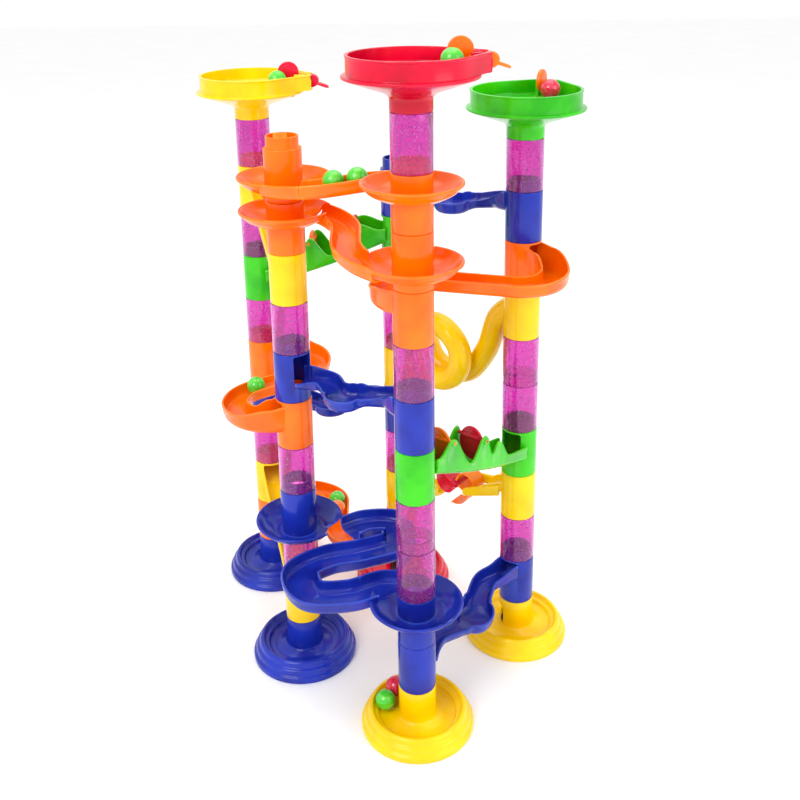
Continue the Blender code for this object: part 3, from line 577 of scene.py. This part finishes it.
def trough(place, path, half, right, left=None, dip=0.0):  # rounded channel with lipped rims
    total = distances(path)
    wall, lip, under = track["wall"], track["lip"], track["floor"]
    rings = []
    for index, (t, w, z) in enumerate(path):
        share = total[index] / total[-1]
        h = half(t) if callable(half) else eased(half, share)
        z -= dip(t) if callable(dip) else dip
        low, high = eased(right, share), eased(left if left is not None else right, share)
        side = []
        for rim in (low, high):
            side.append([
                (0.0, -0.3), (h - 4.6, -0.05), (h - 2.4, 0.7), (h - 0.9, 2.4), (h - 0.35, 4.6),
                (h, rim - 1.5), (h + 0.15, rim - 0.35), (h + 0.7, rim), (h + wall + lip - 0.3, rim - 0.15),
                (h + wall + lip, rim - 0.8), (h + wall + lip - 0.05, rim - 1.7), (h + wall, rim - 2.4),
                (h + wall - 0.3, 3.6), (h + wall - 1.0, 1.2), (h + wall - 2.6, -0.9),
                (h + wall - 5.0, -under), (0.0, -under - 0.25)])
        ring = [(-a, b) for a, b in side[0]] + [(a, b) for a, b in reversed(side[1][1:-1])]
        sideT, sideW = acrossAt(path, index)
        rings.append([place(t + sideT * a, w + sideW * a, z + b) for a, b in ring])
    return loft("track", rings)


def hollowRun(place, path, half):  # what the channel leaves open, used to cut a dish rim
    tall, fillet, floorSkin = 26.0, 3.0, 0.05
    outline = [(-half, tall), (-half, fillet), (-half + fillet, floorSkin), (half - fillet, floorSkin),
               (half, fillet), (half, tall)]
    rings = []
    for index, (t, w, z) in enumerate(path):
        sideT, sideW = acrossAt(path, index)
        rings.append([place(t + sideT * a, w + sideW * a, z + b) for a, b in outline])
    return loft("hollow", rings)


openTops = [("B", 10), ("D", 9)]  # sections whose neck and key show


def ringsOfBridge(ends):  # tower, section, window heading, window foot, floor height or None
    meshes = []
    for tower, section, heading, zLow, floorHeight in ends:
        parts = sectionMesh(tower, section, floorHeight, (tower, section) in openTops, heading)
        parts[0] = booleaned(parts[0], [windowCutter(tower, heading, zLow, section)])
        meshes += parts
    return meshes


def hairpin(node, start, startSection, end, endSection):
    look = {"radius": 31.0, "offset": 13.0, "sourceFloor": 22.0, "endFloor": 16.0}
    place, span, heading = runBetween(start, end)
    z0, z1 = level(startSection) + look["sourceFloor"], level(endSection) + look["endFloor"]
    bend, offset, begin = look["radius"], look["offset"], track["start"]
    flat = [(0.0, begin)] + arcPoints((bend, offset), bend, 180.0, 15.0, 40)
    flat += arcPoints((span - bend, -offset), bend, 195.0, 360.0, 40) + [(span, -begin)]
    path = graded(resampled(flat, track["step"]), z0, z1)
    rims = [(0.0, 17.6), (0.05, 16.5), (0.16, 11.0), (0.3, 9.5), (0.7, 9.5), (0.84, 11.5), (0.95, 20.0),
            (1.0, 22.4)]
    meshes = [trough(place, path, track["half"], rims)] + ringsOfBridge([
        (start, startSection, heading + 90.0, z0, look["sourceFloor"]),
        (end, endSection, heading - 90.0, z1, None)])
    place3d(node + "_moulding", meshes, "orange", "frame", node)


hairpin("hairpin_track_d1_a1", "D", 1, "A", 1)
hairpin("hairpin_track_a5_b5", "A", 5, "B", 5)
hairpin("hairpin_track_c8_e8", "C", 8, "E", 8)
print("hairpins made")


def straightSlide(node, start, startSection, end, endSection):
    look = {"half": 8.8, "sourceFloor": 22.0, "endFloor": 9.0}
    place, span, heading = runBetween(start, end)
    z0, z1 = level(startSection) + look["sourceFloor"], level(endSection) + look["endFloor"]
    begin = track["start"]
    path = graded(resampled([(begin, 0.0), (span - begin, 0.0)], track["step"]), z0, z1)
    rims = [(0.0, 14.0), (0.14, 12.0), (0.86, 12.0), (1.0, 14.5)]
    meshes = [trough(place, path, look["half"], rims)] + ringsOfBridge([
        (start, startSection, heading, z0, look["sourceFloor"]),
        (end, endSection, heading + 180.0, z1, None)])
    place3d(node + "_moulding", meshes, "yellow", "frame", node)


straightSlide("slide_a2_b1", "A", 2, "B", 1)
straightSlide("slide_a9_b8", "A", 9, "B", 8)


def pocketTrack(node, start, startSection, end, endSection):
    look = {"pocket": 15.5, "deep": 3.0, "half": 9.0, "sourceFloor": 24.0, "endFloor": 13.0, "step": 1.4,
            "mouth": 3.0, "flare": 1.2}
    place, span, heading = runBetween(start, end)
    z0, z1 = level(startSection) + look["sourceFloor"], level(endSection) + look["endFloor"]
    flat = smoothLine([
        (track["start"], 0.0), (18.0, -3.5), (span * 0.24, -9.0), (span * 0.38, -3.0), (span * 0.5, 4.0),
        (span * 0.62, 1.5), (span * 0.75, -6.5), (span - 20.0, -4.5), (span - track["start"], 0.0)], 12)
    path = graded(resampled(flat, look["step"]), z0, z1)

    def half(t):
        away, mouth = abs(t - span * 0.5), look["mouth"]
        bowl = math.sqrt(max(look["pocket"] ** 2 - away ** 2, 0.0))
        blend = max(0.0, min(1.0, (look["pocket"] + mouth - away) / mouth))
        flared = look["half"] + look["flare"] * blend if away > look["pocket"] - mouth else 0.0
        return max(look["half"], bowl, flared)

    def dip(t):
        away = abs(t - span * 0.5) / look["pocket"]
        return look["deep"] * (1.0 - away * away) if away < 1.0 else 0.0

    far = [(0.0, 15.3), (0.16, 10.0), (0.36, 7.8), (0.42, 10.4), (0.58, 10.4), (0.64, 7.8), (0.8, 9.5),
           (1.0, 13.0)]
    near = [(0.0, 15.3), (0.16, 9.0), (0.36, 6.4), (0.42, 8.6), (0.58, 8.6), (0.64, 6.4), (0.84, 7.5),
            (1.0, 5.0)]
    meshes = [trough(place, path, half, far, near, dip)] + ringsOfBridge([
        (start, startSection, heading, z0, look["sourceFloor"]),
        (end, endSection, heading + 180.0, z1, None)])
    place3d(node + "_moulding", meshes, "blue", "frame", node)


pocketTrack("pocket_track_d4_a4", "D", 4, "A", 4)
pocketTrack("pocket_track_c6_b6", "C", 6, "B", 6)
pocketTrack("pocket_track_e1_c1", "E", 1, "C", 1)
pocketTrack("pocket_track_e9_d9", "E", 9, "D", 9)
print("slides and pocket tracks made")


# round dishes
dishLook = {"radius": 36.5, "deep": 10.5, "under": 1.8, "endRings": 18, "highRim": 35.0, "lowRim": 20.0,
            "lift": 0.4, "rimDrop": 0.9, "skin": 0.02}


def dishMesh(tower, rim):
    deep, under, wide = dishLook["deep"], dishLook["under"], dishLook["radius"]
    outline = softened([
        (14.4, rim - deep - under, 0.0), (22.0, rim - deep - under, 4.0), (32.0, rim - 6.9, 6.0),
        (35.4, rim - 2.4, 0.6), (wide + 0.2, rim - 2.0, 0.6), (wide + 0.2, rim, 0.9), (wide - 1.6, rim, 0.7),
        (30.4, rim - 5.7, 6.0), (21.5, rim - deep, 5.0), (14.4, rim - deep + 0.3, 0.0)])
    return turned("dish", outline, towers[tower], 96)


def dishHollow(tower, rim):
    floorHeight, wide, top = rim - dishLook["deep"] + dishLook["skin"], dishLook["radius"] - 1.7, rim + 9.0
    outline = softened([
        (0.4, floorHeight, 0.0), (21.5, floorHeight, 5.0), (30.4, rim - 5.68, 6.0), (wide, rim + 0.3, 0.0),
        (wide, top, 0.0), (0.4, top, 0.0)])
    return turned("dishHollow", outline, towers[tower], 96)


def dishBridge(node, colour, place, path, half, dishes, ends):
    count, rimHeight = dishLook["endRings"], dishLook["deep"] - dishLook["rimDrop"]
    meshes = [trough(place, path[count - 1:1 - count], half, rimHeight)]
    for piece, (tower, rim) in zip((path[:count], path[-count:]), dishes):
        meshes.append(booleaned(trough(place, piece, half, rimHeight), [dishHollow(tower, rim)]))
        meshes.append(booleaned(dishMesh(tower, rim), [hollowRun(place, piece, half)]))
    place3d(node + "_moulding", meshes + ringsOfBridge(ends), colour, "frame", node)


def dishTrack(node, start, startSection, end, endSection, side):
    place, span = runBetween(start, end)[:2]
    rim0, rim1 = level(startSection) + dishLook["highRim"], level(endSection) + dishLook["lowRim"]
    deep, lift, high = dishLook["deep"], dishLook["lift"], dishLook["highRim"]
    flat = smoothLine([
        (10.0, 22.0 * side), (30.0, 22.0 * side), (span * 0.40, 13.0 * side), (span * 0.60, -13.0 * side),
        (span - 30.0, -22.0 * side), (span - 10.0, -22.0 * side)], 14)
    path = graded(resampled(flat, track["step"]), rim0 - deep + lift, rim1 - deep + lift)
    dishBridge(node, "orange", place, path, track["half"], [(start, rim0), (end, rim1)], [
        (start, startSection, 90.0, rim0 - deep, high - deep), (end, endSection, 90.0, rim1 - deep, None)])


dishTrack("dish_track_c10_b10", "C", 10, "B", 10, -1.0)
dishTrack("dish_track_b9_c9", "B", 9, "C", 9, 1.0)


def zigzagTrack(node, start, startSection, end, endSection):
    look = {"half": 13.4, "sourceFloor": 15.4, "rimRise": 2.0}
    place = runBetween(start, end)[0]
    deep, lift, sourceFloor = dishLook["deep"], dishLook["lift"], look["sourceFloor"]
    rim0, rim1 = level(startSection) + deep + look["rimRise"], level(endSection) + dishLook["highRim"]
    flat = smoothLine([
        (14.0, 1.0), (35.0, 14.0), (43.0, 40.0), (60.0, 55.0), (78.0, 38.0), (64.0, 10.0),
        (47.0, -12.0), (42.0, -38.0), (66.0, -50.0), (88.0, -28.0), (98.0, 0.0), (114.0, 12.0)], 14)
    path = graded(resampled(flat, track["step"]), rim0 - deep + lift, rim1 - deep + lift)
    dishBridge(node, "blue", place, path, look["half"], [(start, rim0), (end, rim1)], [
        (start, startSection, 90.0, level(startSection) + sourceFloor, sourceFloor),
        (end, endSection, 90.0, rim1 - deep, None)])


zigzagTrack("zigzag_track_b3_c2", "B", 3, "C", 2)
print("dish and zigzag tracks made")


# flap tracks
flapLook = {"pin": 25.5, "wide": 11.6, "half": 13.0, "tall": 14.5, "A": (0.30, 0.61), "E": (0.21, 0.51),
            "sourceFloor": 24.0, "endFloor": 15.0, "sag": 4.0, "margin": 0.07, "hang": 6.0}


def flapFloor(startSection, endSection, share):
    z0, z1 = level(startSection) + flapLook["sourceFloor"], level(endSection) + flapLook["endFloor"]
    return z0 + (z1 - z0) * share - flapLook["sag"] * math.sin(math.pi * share)


def flapTrack(node, start, startSection, end, endSection):
    place, span, heading = runBetween(start, end)
    first, last = flapLook[end]
    margin, run, count = flapLook["margin"], 1.0 - 2.0 * flapLook["margin"], 90
    walls = [(margin, 12.0), (first, 28.6), ((first + last) / 2.0, 8.0), (last, 30.5), (last + 0.055, 13.5),
             (last + 0.13, 24.0), (last + 0.23, 10.0), (1.0 - margin, 12.0)]
    path = []
    for k in range(count + 1):
        share = margin + run * k / count
        path.append((span * share, 0.0, flapFloor(startSection, endSection, share)))
    rims = [((s - margin) / run, h) for s, h in walls]
    z0, z1 = path[0][2], path[-1][2]
    meshes = [trough(place, path, flapLook["half"], rims)]
    for share in (first, last):
        height = flapFloor(startSection, endSection, share) + flapLook["pin"]
        for side in (-1.0, 1.0):  # bosses round the pins
            meshes.append(spindle("boss", place, (span * share, height), [
                (side * 14.4, 2.9), (side * 15.0, 2.9), (side * 15.2, 2.6)]))
    meshes += ringsOfBridge([(start, startSection, heading, z0, z0 - level(startSection)),
                             (end, endSection, heading + 180.0, z1, None)])
    place3d(node + "_moulding", meshes, "green", "frame", node)


def flapPaddle(node, colour, start, startSection, end, endSection, share):
    place, span = runBetween(start, end)[:2]
    pinT, pinZ = span * share, flapFloor(startSection, endSection, share) + flapLook["pin"]

    def acrossRun(t, w, z):
        return place(w, t, z)

    wide, tall, middle = flapLook["wide"], flapLook["tall"], (0.0, pinZ - flapLook["hang"])
    plate = plateStations(wide, pinT - 1.2, pinT + 1.2, 0.9)
    blade = spindle("blade", acrossRun, middle, plate, tall / wide, 48)
    boss = plateStations(wide - 3.2, pinT - 1.55, pinT + 1.55, 0.3)
    rib = spindle("rib", acrossRun, middle, boss, tall / wide, 48)
    pin = spindle("pin", place, (pinT, pinZ), [
        (-15.6, 0.7), (-15.5, 1.15), (-15.1, 1.4), (15.1, 1.4), (15.5, 1.15), (15.6, 0.7)], 1.0, 20)
    collar = spindle("collar", place, (pinT, pinZ), plateStations(2.4, -8.4, 8.4, 0.6), 1.0, 24)
    place3d(node + "_paddle", [blade, rib, pin, collar], colour, node, node)


flapTrack("flap_track_d8_a7", "D", 8, "A", 7)
flapTrack("flap_track_c5_e4", "C", 5, "E", 4)
flapPaddle("flap_a_upper", "red", "D", 8, "A", 7, flapLook["A"][0])
flapPaddle("flap_a_lower", "orange", "D", 8, "A", 7, flapLook["A"][1])
flapPaddle("flap_e_upper", "orange", "C", 5, "E", 4, flapLook["E"][0])
flapPaddle("flap_e_lower", "red", "C", 5, "E", 4, flapLook["E"][1])
print("flap tracks made")


# wheel track
wheelLook = {"t": 62.0, "height": 51.4, "radius": 21.4, "half": 8.6, "railIn": 10.3, "railOut": 13.4,
             "takeGap": 18.0, "feedGap": 4.0}


def wheelTrack(node, start, startSection, end, endSection):
    place, span, heading = runBetween(start, end)
    low, hubT = level(endSection), wheelLook["t"]
    hubZ = low + wheelLook["height"]
    feedEnd = hubT - wheelLook["radius"] - wheelLook["feedGap"]
    begin, takeStart = track["start"], hubT + wheelLook["takeGap"]
    feed = graded(resampled([(begin, 0.0), (feedEnd, 0.0)], track["step"]), hubZ + 12.0, hubZ + 0.5)
    slope = [(0.0, low + 33.0), (0.45, low + 20.0), (1.0, low + 9.0)]
    take = []
    for t, w in resampled([(takeStart, 0.0), (span - begin, 0.0)], track["step"]):
        take.append((t, w, eased(slope, (t - takeStart) / (span - begin - takeStart))))
    meshes = [trough(place, feed, track["half"], [(0.0, 9.6), (0.7, 8.4), (1.0, 6.0)]),
              trough(place, take, track["half"], [(0.0, 12.0), (0.3, 15.0), (1.0, 12.0)])]
    inner, outer = wheelLook["railIn"], wheelLook["railOut"]
    far = [(12.5, hubZ + 10.5, 1.0), (24.0, hubZ + 6.0, 1.0), (40.0, hubZ + 3.0, 1.0), (hubT, hubZ, 1.05),
           (hubT + 12.0, hubZ - 4.0, 1.0), (hubT + 24.0, hubZ - 8.5, 1.0)]
    meshes.append(bar("farRail", place, smoothLine(far, 6), 4.4, (-outer, -inner)))
    near = [(12.5, hubZ + 12.6, 1.2), (28.0, hubZ + 6.4, 1.1), (42.0, hubZ + 0.8, 1.0),
            (48.0, hubZ - 1.2, 0.85), (50.0, hubZ - 1.8, 0.5)]
    meshes.append(bar("nearArm", place, smoothLine(near, 6), 4.2, (inner, outer)))
    meshes.append(spindle("bearing", place, (hubT, hubZ), [
        (-outer - 0.8, 3.4), (-outer - 0.6, 3.8), (-inner, 3.8)]))
    meshes += ringsOfBridge([(start, startSection, heading, feed[0][2], feed[0][2] - level(startSection)),
                             (end, endSection, heading + 180.0, take[-1][2], None)])
    place3d(node + "_moulding", meshes, "yellow", "frame", node)


def scoopWheel(node, start, end, endSection):
    place = runBetween(start, end)[0]
    hubT, hubZ = wheelLook["t"], level(endSection) + wheelLook["height"]
    half, wide, outer = wheelLook["half"], wheelLook["radius"], wheelLook["railOut"]
    hub = spindle("hub", place, (hubT, hubZ), plateStations(4.2, -half, half, 0.8), 1.0, 32)
    axle = spindle("axle", place, (hubT, hubZ), [
        (-outer - 1.6, 0.9), (-outer - 1.3, 1.5), (-outer, 1.7), (half + 0.6, 1.7),
        (half + 1.0, 1.2)], 1.0, 24)
    scoops = []
    for turn in (20.0, 110.0, 200.0, 290.0):
        line = []
        for k in range(19):
            s = k / 18.0
            reach = math.sin(math.pi / 2 * s) ** 0.9
            angle, thick = math.radians(turn + 80.0 * s ** 2.0), 0.9 * (1.0 - 0.3 * s)
            line.append((3.2 + (wide - 3.8) * reach, angle, thick))
        faces = []
        for side in (1.0, -1.0):
            turns = [(r, a + side * thick / r) for r, a, thick in line]
            faces.append([(hubT + r * math.cos(a), hubZ + r * math.sin(a)) for r, a in turns])
        reach, angle = line[-1][0] + 0.6, line[-1][1]
        nose = (hubT + reach * math.cos(angle), hubZ + reach * math.sin(angle))
        outline = faces[0] + [nose] + faces[1][::-1]
        ends = (-half + 0.4, half - 0.4)
        scoops.append(loft("scoop", [[place(t, w, z) for t, z in outline] for w in ends]))
    place3d(node + "_red_half", [hub, axle, scoops[0], scoops[3]], "red", node, node)
    place3d(node + "_orange_half", [scoops[1], scoops[2]], "orange", node)


wheelTrack("wheel_track_e3_d2", "E", 3, "D", 2)
scoopWheel("scoop_wheel", "E", "D", 2)
print("wheel track made")


# loop tube
def pipeMesh(place, path, radius, sides):
    points = [Vector(place(*p)) for p in path]
    rings, across = [], None
    for index, point in enumerate(points):
        ahead = (points[min(index + 1, len(points) - 1)] - points[max(index - 1, 0)]).normalized()
        if across is None:
            across = ahead.cross(Vector((0, 0, 1))).normalized()
        across = (across - ahead * across.dot(ahead)).normalized()
        upward = across.cross(ahead)
        rings.append([tuple(point + across * radius * math.cos(a) + upward * radius * math.sin(a))
                      for a in (2.0 * math.pi * k / sides for k in range(sides))])
    return loft("pipe", rings)


def loopTube(node, start, startSection, end, endSection):
    place, span, heading = runBetween(start, end)
    look = {"middle": 0.61, "height": 51.0, "radius": 25.0, "side": 10.6, "pipe": 10.0}
    foot = level(endSection)
    midT, midZ, radius, side = span * look["middle"], foot + look["height"], look["radius"], look["side"]
    line = [(8.0, 0.0, level(startSection) + 24.0), (24.5, -2.0, foot + 92.5), (38.0, -8.0, foot + 61.0),
            (54.0, -side, foot + 37.0), (66.0, -side, foot + 28.5)]
    for turn in range(-90, 271, 24):
        share = min(max((turn + 20.0) / 150.0, 0.0), 1.0)
        across = -side + 2.0 * side * share * share * (3.0 - 2.0 * share)
        angle = math.radians(turn)
        line.append((midT + radius * math.cos(angle), across, midZ + radius * math.sin(angle)))
    line += [(midT + 15.0, side - 0.6, foot + 24.0), (span - 22.0, 3.5, foot + 20.5),
             (span - 8.0, 0.0, foot + 20.0)]
    meshes = [pipeMesh(place, smoothLine(line, 6), look["pipe"], 32)]
    for tower, section, floorHeight in ((start, startSection, 15.0), (end, endSection, None)):
        meshes += sectionMesh(tower, section, floorHeight, False, heading)
    place3d(node + "_moulding", meshes, "yellow", "frame", node)


loopTube("loop_tube_e7_d5", "E", 7, "D", 5)
print("loop tube made")


# funnels and gates
gates = {
    "C": {"sections": 11, "pan": "red", "lever": "orange", "heading": 10.0},
    "E": {"sections": 10, "pan": "green", "lever": "orange", "heading": 62.0},
    "A": {"sections": 10, "pan": "yellow", "lever": "red", "heading": -3.0}}
panLook = {"wall": 43.9, "flange": 47.3, "rim": 38.5, "tip": 54.0, "tipHalf": 7.4, "pinReach": 50.0,
           "pinHeight": 32.0, "wallFoot": 24.9, "wallInside": 40.0}


def teardrop(phi):  # outline of the pan wall, 1 on its round part
    wall, tip, tipHalf = panLook["wall"], panLook["tip"], panLook["tipHalf"]
    phi = abs((phi + math.pi) % (2.0 * math.pi) - math.pi)
    corner = math.atan2(tipHalf, tip)
    tangent = corner + math.acos(wall / math.hypot(tip, tipHalf))
    if phi < corner:
        return tip / math.cos(phi) / wall
    if phi < tangent:
        return 1.0 / math.cos(tangent - phi)
    return 1.0


def funnelPan(tower):
    gate = gates[tower]
    foot, wall, flange = level(gate["sections"] + 1), panLook["wall"], panLook["flange"]
    top = foot + panLook["rim"]

    def shape(radius, height, angle):
        if height > foot + panLook["wallFoot"] and radius > panLook["wallInside"]:
            return radius * teardrop(angle - math.radians(gate["heading"]))
        return radius

    outline = softened([
        (15.0, foot, 0.7), (15.0, foot + 10.0, 3.0), (19.0, foot + 13.0, 2.0), (33.0, foot + 17.8, 6.0),
        (flange, foot + 22.9, 0.8), (flange, foot + 24.7, 0.7), (wall, foot + 25.2, 0.5),
        (wall, top - 1.6, 0.3), (wall + 0.6, top - 1.2, 0.4), (wall + 0.6, top, 0.6), (wall - 1.9, top, 0.6),
        (wall - 1.9, foot + 27.0, 2.2), (38.0, foot + 25.6, 3.0), (30.0, foot + 23.0, 6.0),
        (17.0, foot + 18.0, 3.0), (13.3, foot + 14.5, 0.8), (13.3, foot, 0.4)])
    pan = turned("pan", outline, towers[tower], 144, shape)
    place = facing(towers[tower], gate["heading"])
    slotBox = softened([(-4.6, foot + 27.2, 0.5), (4.6, foot + 27.2, 0.5), (4.6, foot + 44.0, 0.5),
                        (-4.6, foot + 44.0, 0.5)], 3)
    slot = loft("slot", [[place(t, w, z) for w, z in slotBox] for t in (36.0, 62.0)])
    meshes = [booleaned(pan, [slot])]
    outline = softened([
        (40.0, foot + 24.4, 0.6), (54.2, foot + 24.4, 2.0), (55.0, top - 4.0, 4.5), (50.0, top, 3.0),
        (40.0, top, 0.6)], 5)
    midT, midHeight = 48.0, 31.0
    for side in (-1.0, 1.0):
        low, high = sorted((side * 7.6, side * 4.9))
        cheek = []
        for w, inset in ((low, 0.96), (low + 0.5, 1.0), (high - 0.5, 1.0), (high, 0.96)):
            cheek.append([place(midT + (t - midT) * inset, w,
                                foot + midHeight + (z - foot - midHeight) * inset) for t, z in outline])
        meshes.append(loft("cheek", cheek))
    for k in range(5):  # low ribs that lead marbles to the gate
        w0 = -16.0 + 5.2 * k
        ledge = softened([(w0, foot + 20.5, 0.3), (w0 + 3.6, foot + 20.5, 0.3), (w0 + 3.6, foot + 26.6, 0.9),
                          (w0, foot + 26.6, 0.9)], 3)
        meshes.append(loft("rib", [[place(t, w, z - drop) for w, z in ledge]
                                   for t, drop in ((24.0, 1.6), (30.0, 0.4), (40.5, 0.0))]))
    node = f"funnel_{tower.lower()}"
    place3d(node + "_pan", meshes, gate["pan"], "frame", node)


def gateLever(tower):
    gate = gates[tower]
    place = facing(towers[tower], gate["heading"])
    pinZ, reach = level(gate["sections"] + 1) + panLook["pinHeight"], panLook["pinReach"]
    paddle = (reach - 16.0, pinZ + 8.0)
    stopper = spindle("stopper", place, paddle, plateStations(9.2, -1.6, 1.6, 1.0), 1.0, 48)
    face = spindle("face", place, paddle, plateStations(6.4, -1.95, 1.95, 0.35), 1.0, 48)
    armLine = [(reach - 14.0, pinZ + 2.6, 1.0), (reach - 8.0, pinZ + 1.4, 0.9),
               (reach + 3.0, pinZ + 0.8, 0.95)]
    arm = bar("arm", place, smoothLine(armLine, 6), 2.6, (-1.9, 1.9), 0.8)
    middle = (reach + 5.0, pinZ + 0.6)
    knuckle = spindle("knuckle", place, middle, plateStations(5.6, -3.9, 3.9, 1.2), 1.0, 40)
    rings = []
    for k in range(15):
        s = k / 14.0
        t = reach + 8.0 + 11.2 * s
        z = pinZ - 1.4 - 3.2 * s - 0.6 * s * s
        wide = 3.3 + 0.7 * math.sin(math.pi * s * 0.9)
        cap = math.sqrt(max(1.0 - max(0.0, (s - 0.72) / 0.28) ** 2, 0.02))
        outline = softened([(-wide * cap, -1.2, 0.9), (wide * cap, -1.2, 0.9), (wide * cap, 1.2, 0.9),
                            (-wide * cap, 1.2, 0.9)], 3)
        rings.append([place(t, w, z + b * (0.55 + 0.45 * cap)) for w, b in outline])
    tongue = loft("tongue", rings)
    pin = spindle("pin", place, (reach, pinZ), [
        (-9.3, 0.8), (-9.15, 1.8), (-8.8, 2.6), (-8.3, 3.0), (-7.75, 3.1), (-7.7, 1.3), (7.7, 1.3),
        (7.75, 3.1), (8.3, 3.0), (8.8, 2.6), (9.15, 1.8), (9.3, 0.8)], 1.0, 28)
    node = f"gate_lever_{tower.lower()}"
    place3d(node + "_moulding", [stopper, face, arm, knuckle, tongue, pin], gate["lever"], node, node)


for tower in gates:
    funnelPan(tower)
    gateLever(tower)
print("funnels made")


# marbles
marbleRadius = 8.0


def marbleBall(node, colour):
    low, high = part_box(node)
    name, centre = node + "_glass", (low + high) * 0.5
    work = bmesh.new()
    bmesh.ops.create_icosphere(work, subdivisions=4, radius=marbleRadius * mm)
    ball = bpy.data.meshes.new(name)
    work.to_mesh(ball)
    work.free()
    ball.materials.append(marbleLooks[colour])
    ball.shade_smooth()
    piece = bpy.data.objects.new(name, ball)
    bpy.context.scene.collection.objects.link(piece)
    piece.location = Vector(centre)
    piece.rotation_euler = (centre[0] * 31.0, centre[1] * 47.0, centre[2] * 19.0)  # no two lie alike
    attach(piece, node)
    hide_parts(node)


marbleHues = {
    "marble_gate_c": "green", "marble_gate_e": "red", "marble_gate_a": "green", "marble_c10_near": "green",
    "marble_c10_far": "green", "marble_a5": "green", "marble_d1_left": "orange", "marble_d1_right": "green",
    "marble_base_left": "green", "marble_base_right": "red"}
for node, colour in marbleHues.items():
    marbleBall(node, colour)
print("marbles made")


# floor, light and camera
def studioFloor():
    wide, drop = 6.0, -0.0002  # metres, just under the bases
    mesh = bpy.data.meshes.new("floor")
    corners = [(-wide, -wide, drop), (wide, -wide, drop), (wide, wide, drop), (-wide, wide, drop)]
    mesh.from_pydata(corners, [], [(0, 1, 2, 3)])
    made, tree, shader = newMaterial("floorPaper")
    spot = addNode(tree, "ShaderNodeTexCoord").outputs["Object"]
    cloud = addStep(tree, addNoise(tree, spot, 6.0, 4.0), 0.3, 0.7)
    paper = addMix(tree, cloud, (0.96, 0.96, 0.96, 1.0), (0.94, 0.94, 0.943, 1.0))
    tree.links.new(paper, shader.inputs["Base Color"])
    shader.inputs["Roughness"].default_value = 0.55
    mesh.materials.append(made)
    floor = bpy.data.objects.new("floor", mesh)
    bpy.context.scene.collection.objects.link(floor)


def softLight(name, spot, aim, size, power):
    lamp = bpy.data.lights.new(name, "AREA")
    lamp.shape = "RECTANGLE"
    lamp.size, lamp.size_y = size
    lamp.energy = power
    made = bpy.data.objects.new(name, lamp)
    made.location = spot
    made.rotation_euler = (Vector(aim) - Vector(spot)).to_track_quat("-Z", "Y").to_euler()
    bpy.context.scene.collection.objects.link(made)


cameraLook = {"spot": (0.014906, -0.787844, 0.62043), "pitch": 16.231, "roll": -0.8086, "lens": 45.8755,
              "shiftUp": -0.22375}


def studioCamera():
    lens = bpy.data.cameras.new("camera")
    lens.sensor_width = 36.0
    lens.lens = cameraLook["lens"]
    lens.shift_y = cameraLook["shiftUp"]
    lens.clip_start = 0.01
    camera = bpy.data.objects.new("camera", lens)
    bpy.context.scene.collection.objects.link(camera)
    camera.matrix_world = (Matrix.Translation(cameraLook["spot"])
                           @ Matrix.Rotation(math.radians(90.0 - cameraLook["pitch"]), 4, "X")
                           @ Matrix.Rotation(math.radians(cameraLook["roll"]), 4, "Z"))
    bpy.context.scene.camera = camera


studioFloor()
softLight("keyLight", (-0.9, -1.3, 1.5), (0.0, 0.0, 0.3), (1.0, 1.0), 16.0)
softLight("fillLight", (1.3, -0.9, 0.9), (0.0, 0.0, 0.25), (1.0, 1.2), 7.0)
softLight("topLight", (0.0, 0.3, 1.8), (0.0, 0.0, 0.2), (1.4, 1.4), 10.0)
world = bpy.data.worlds.new("studio")
world.use_nodes = True
world.node_tree.nodes["Background"].inputs["Color"].default_value = (1.0, 1.0, 1.0, 1.0)
world.node_tree.nodes["Background"].inputs["Strength"].default_value = 1.02
bpy.context.scene.world = world
bpy.context.scene.view_settings.view_transform = "Standard"
studioCamera()
print("studio made")
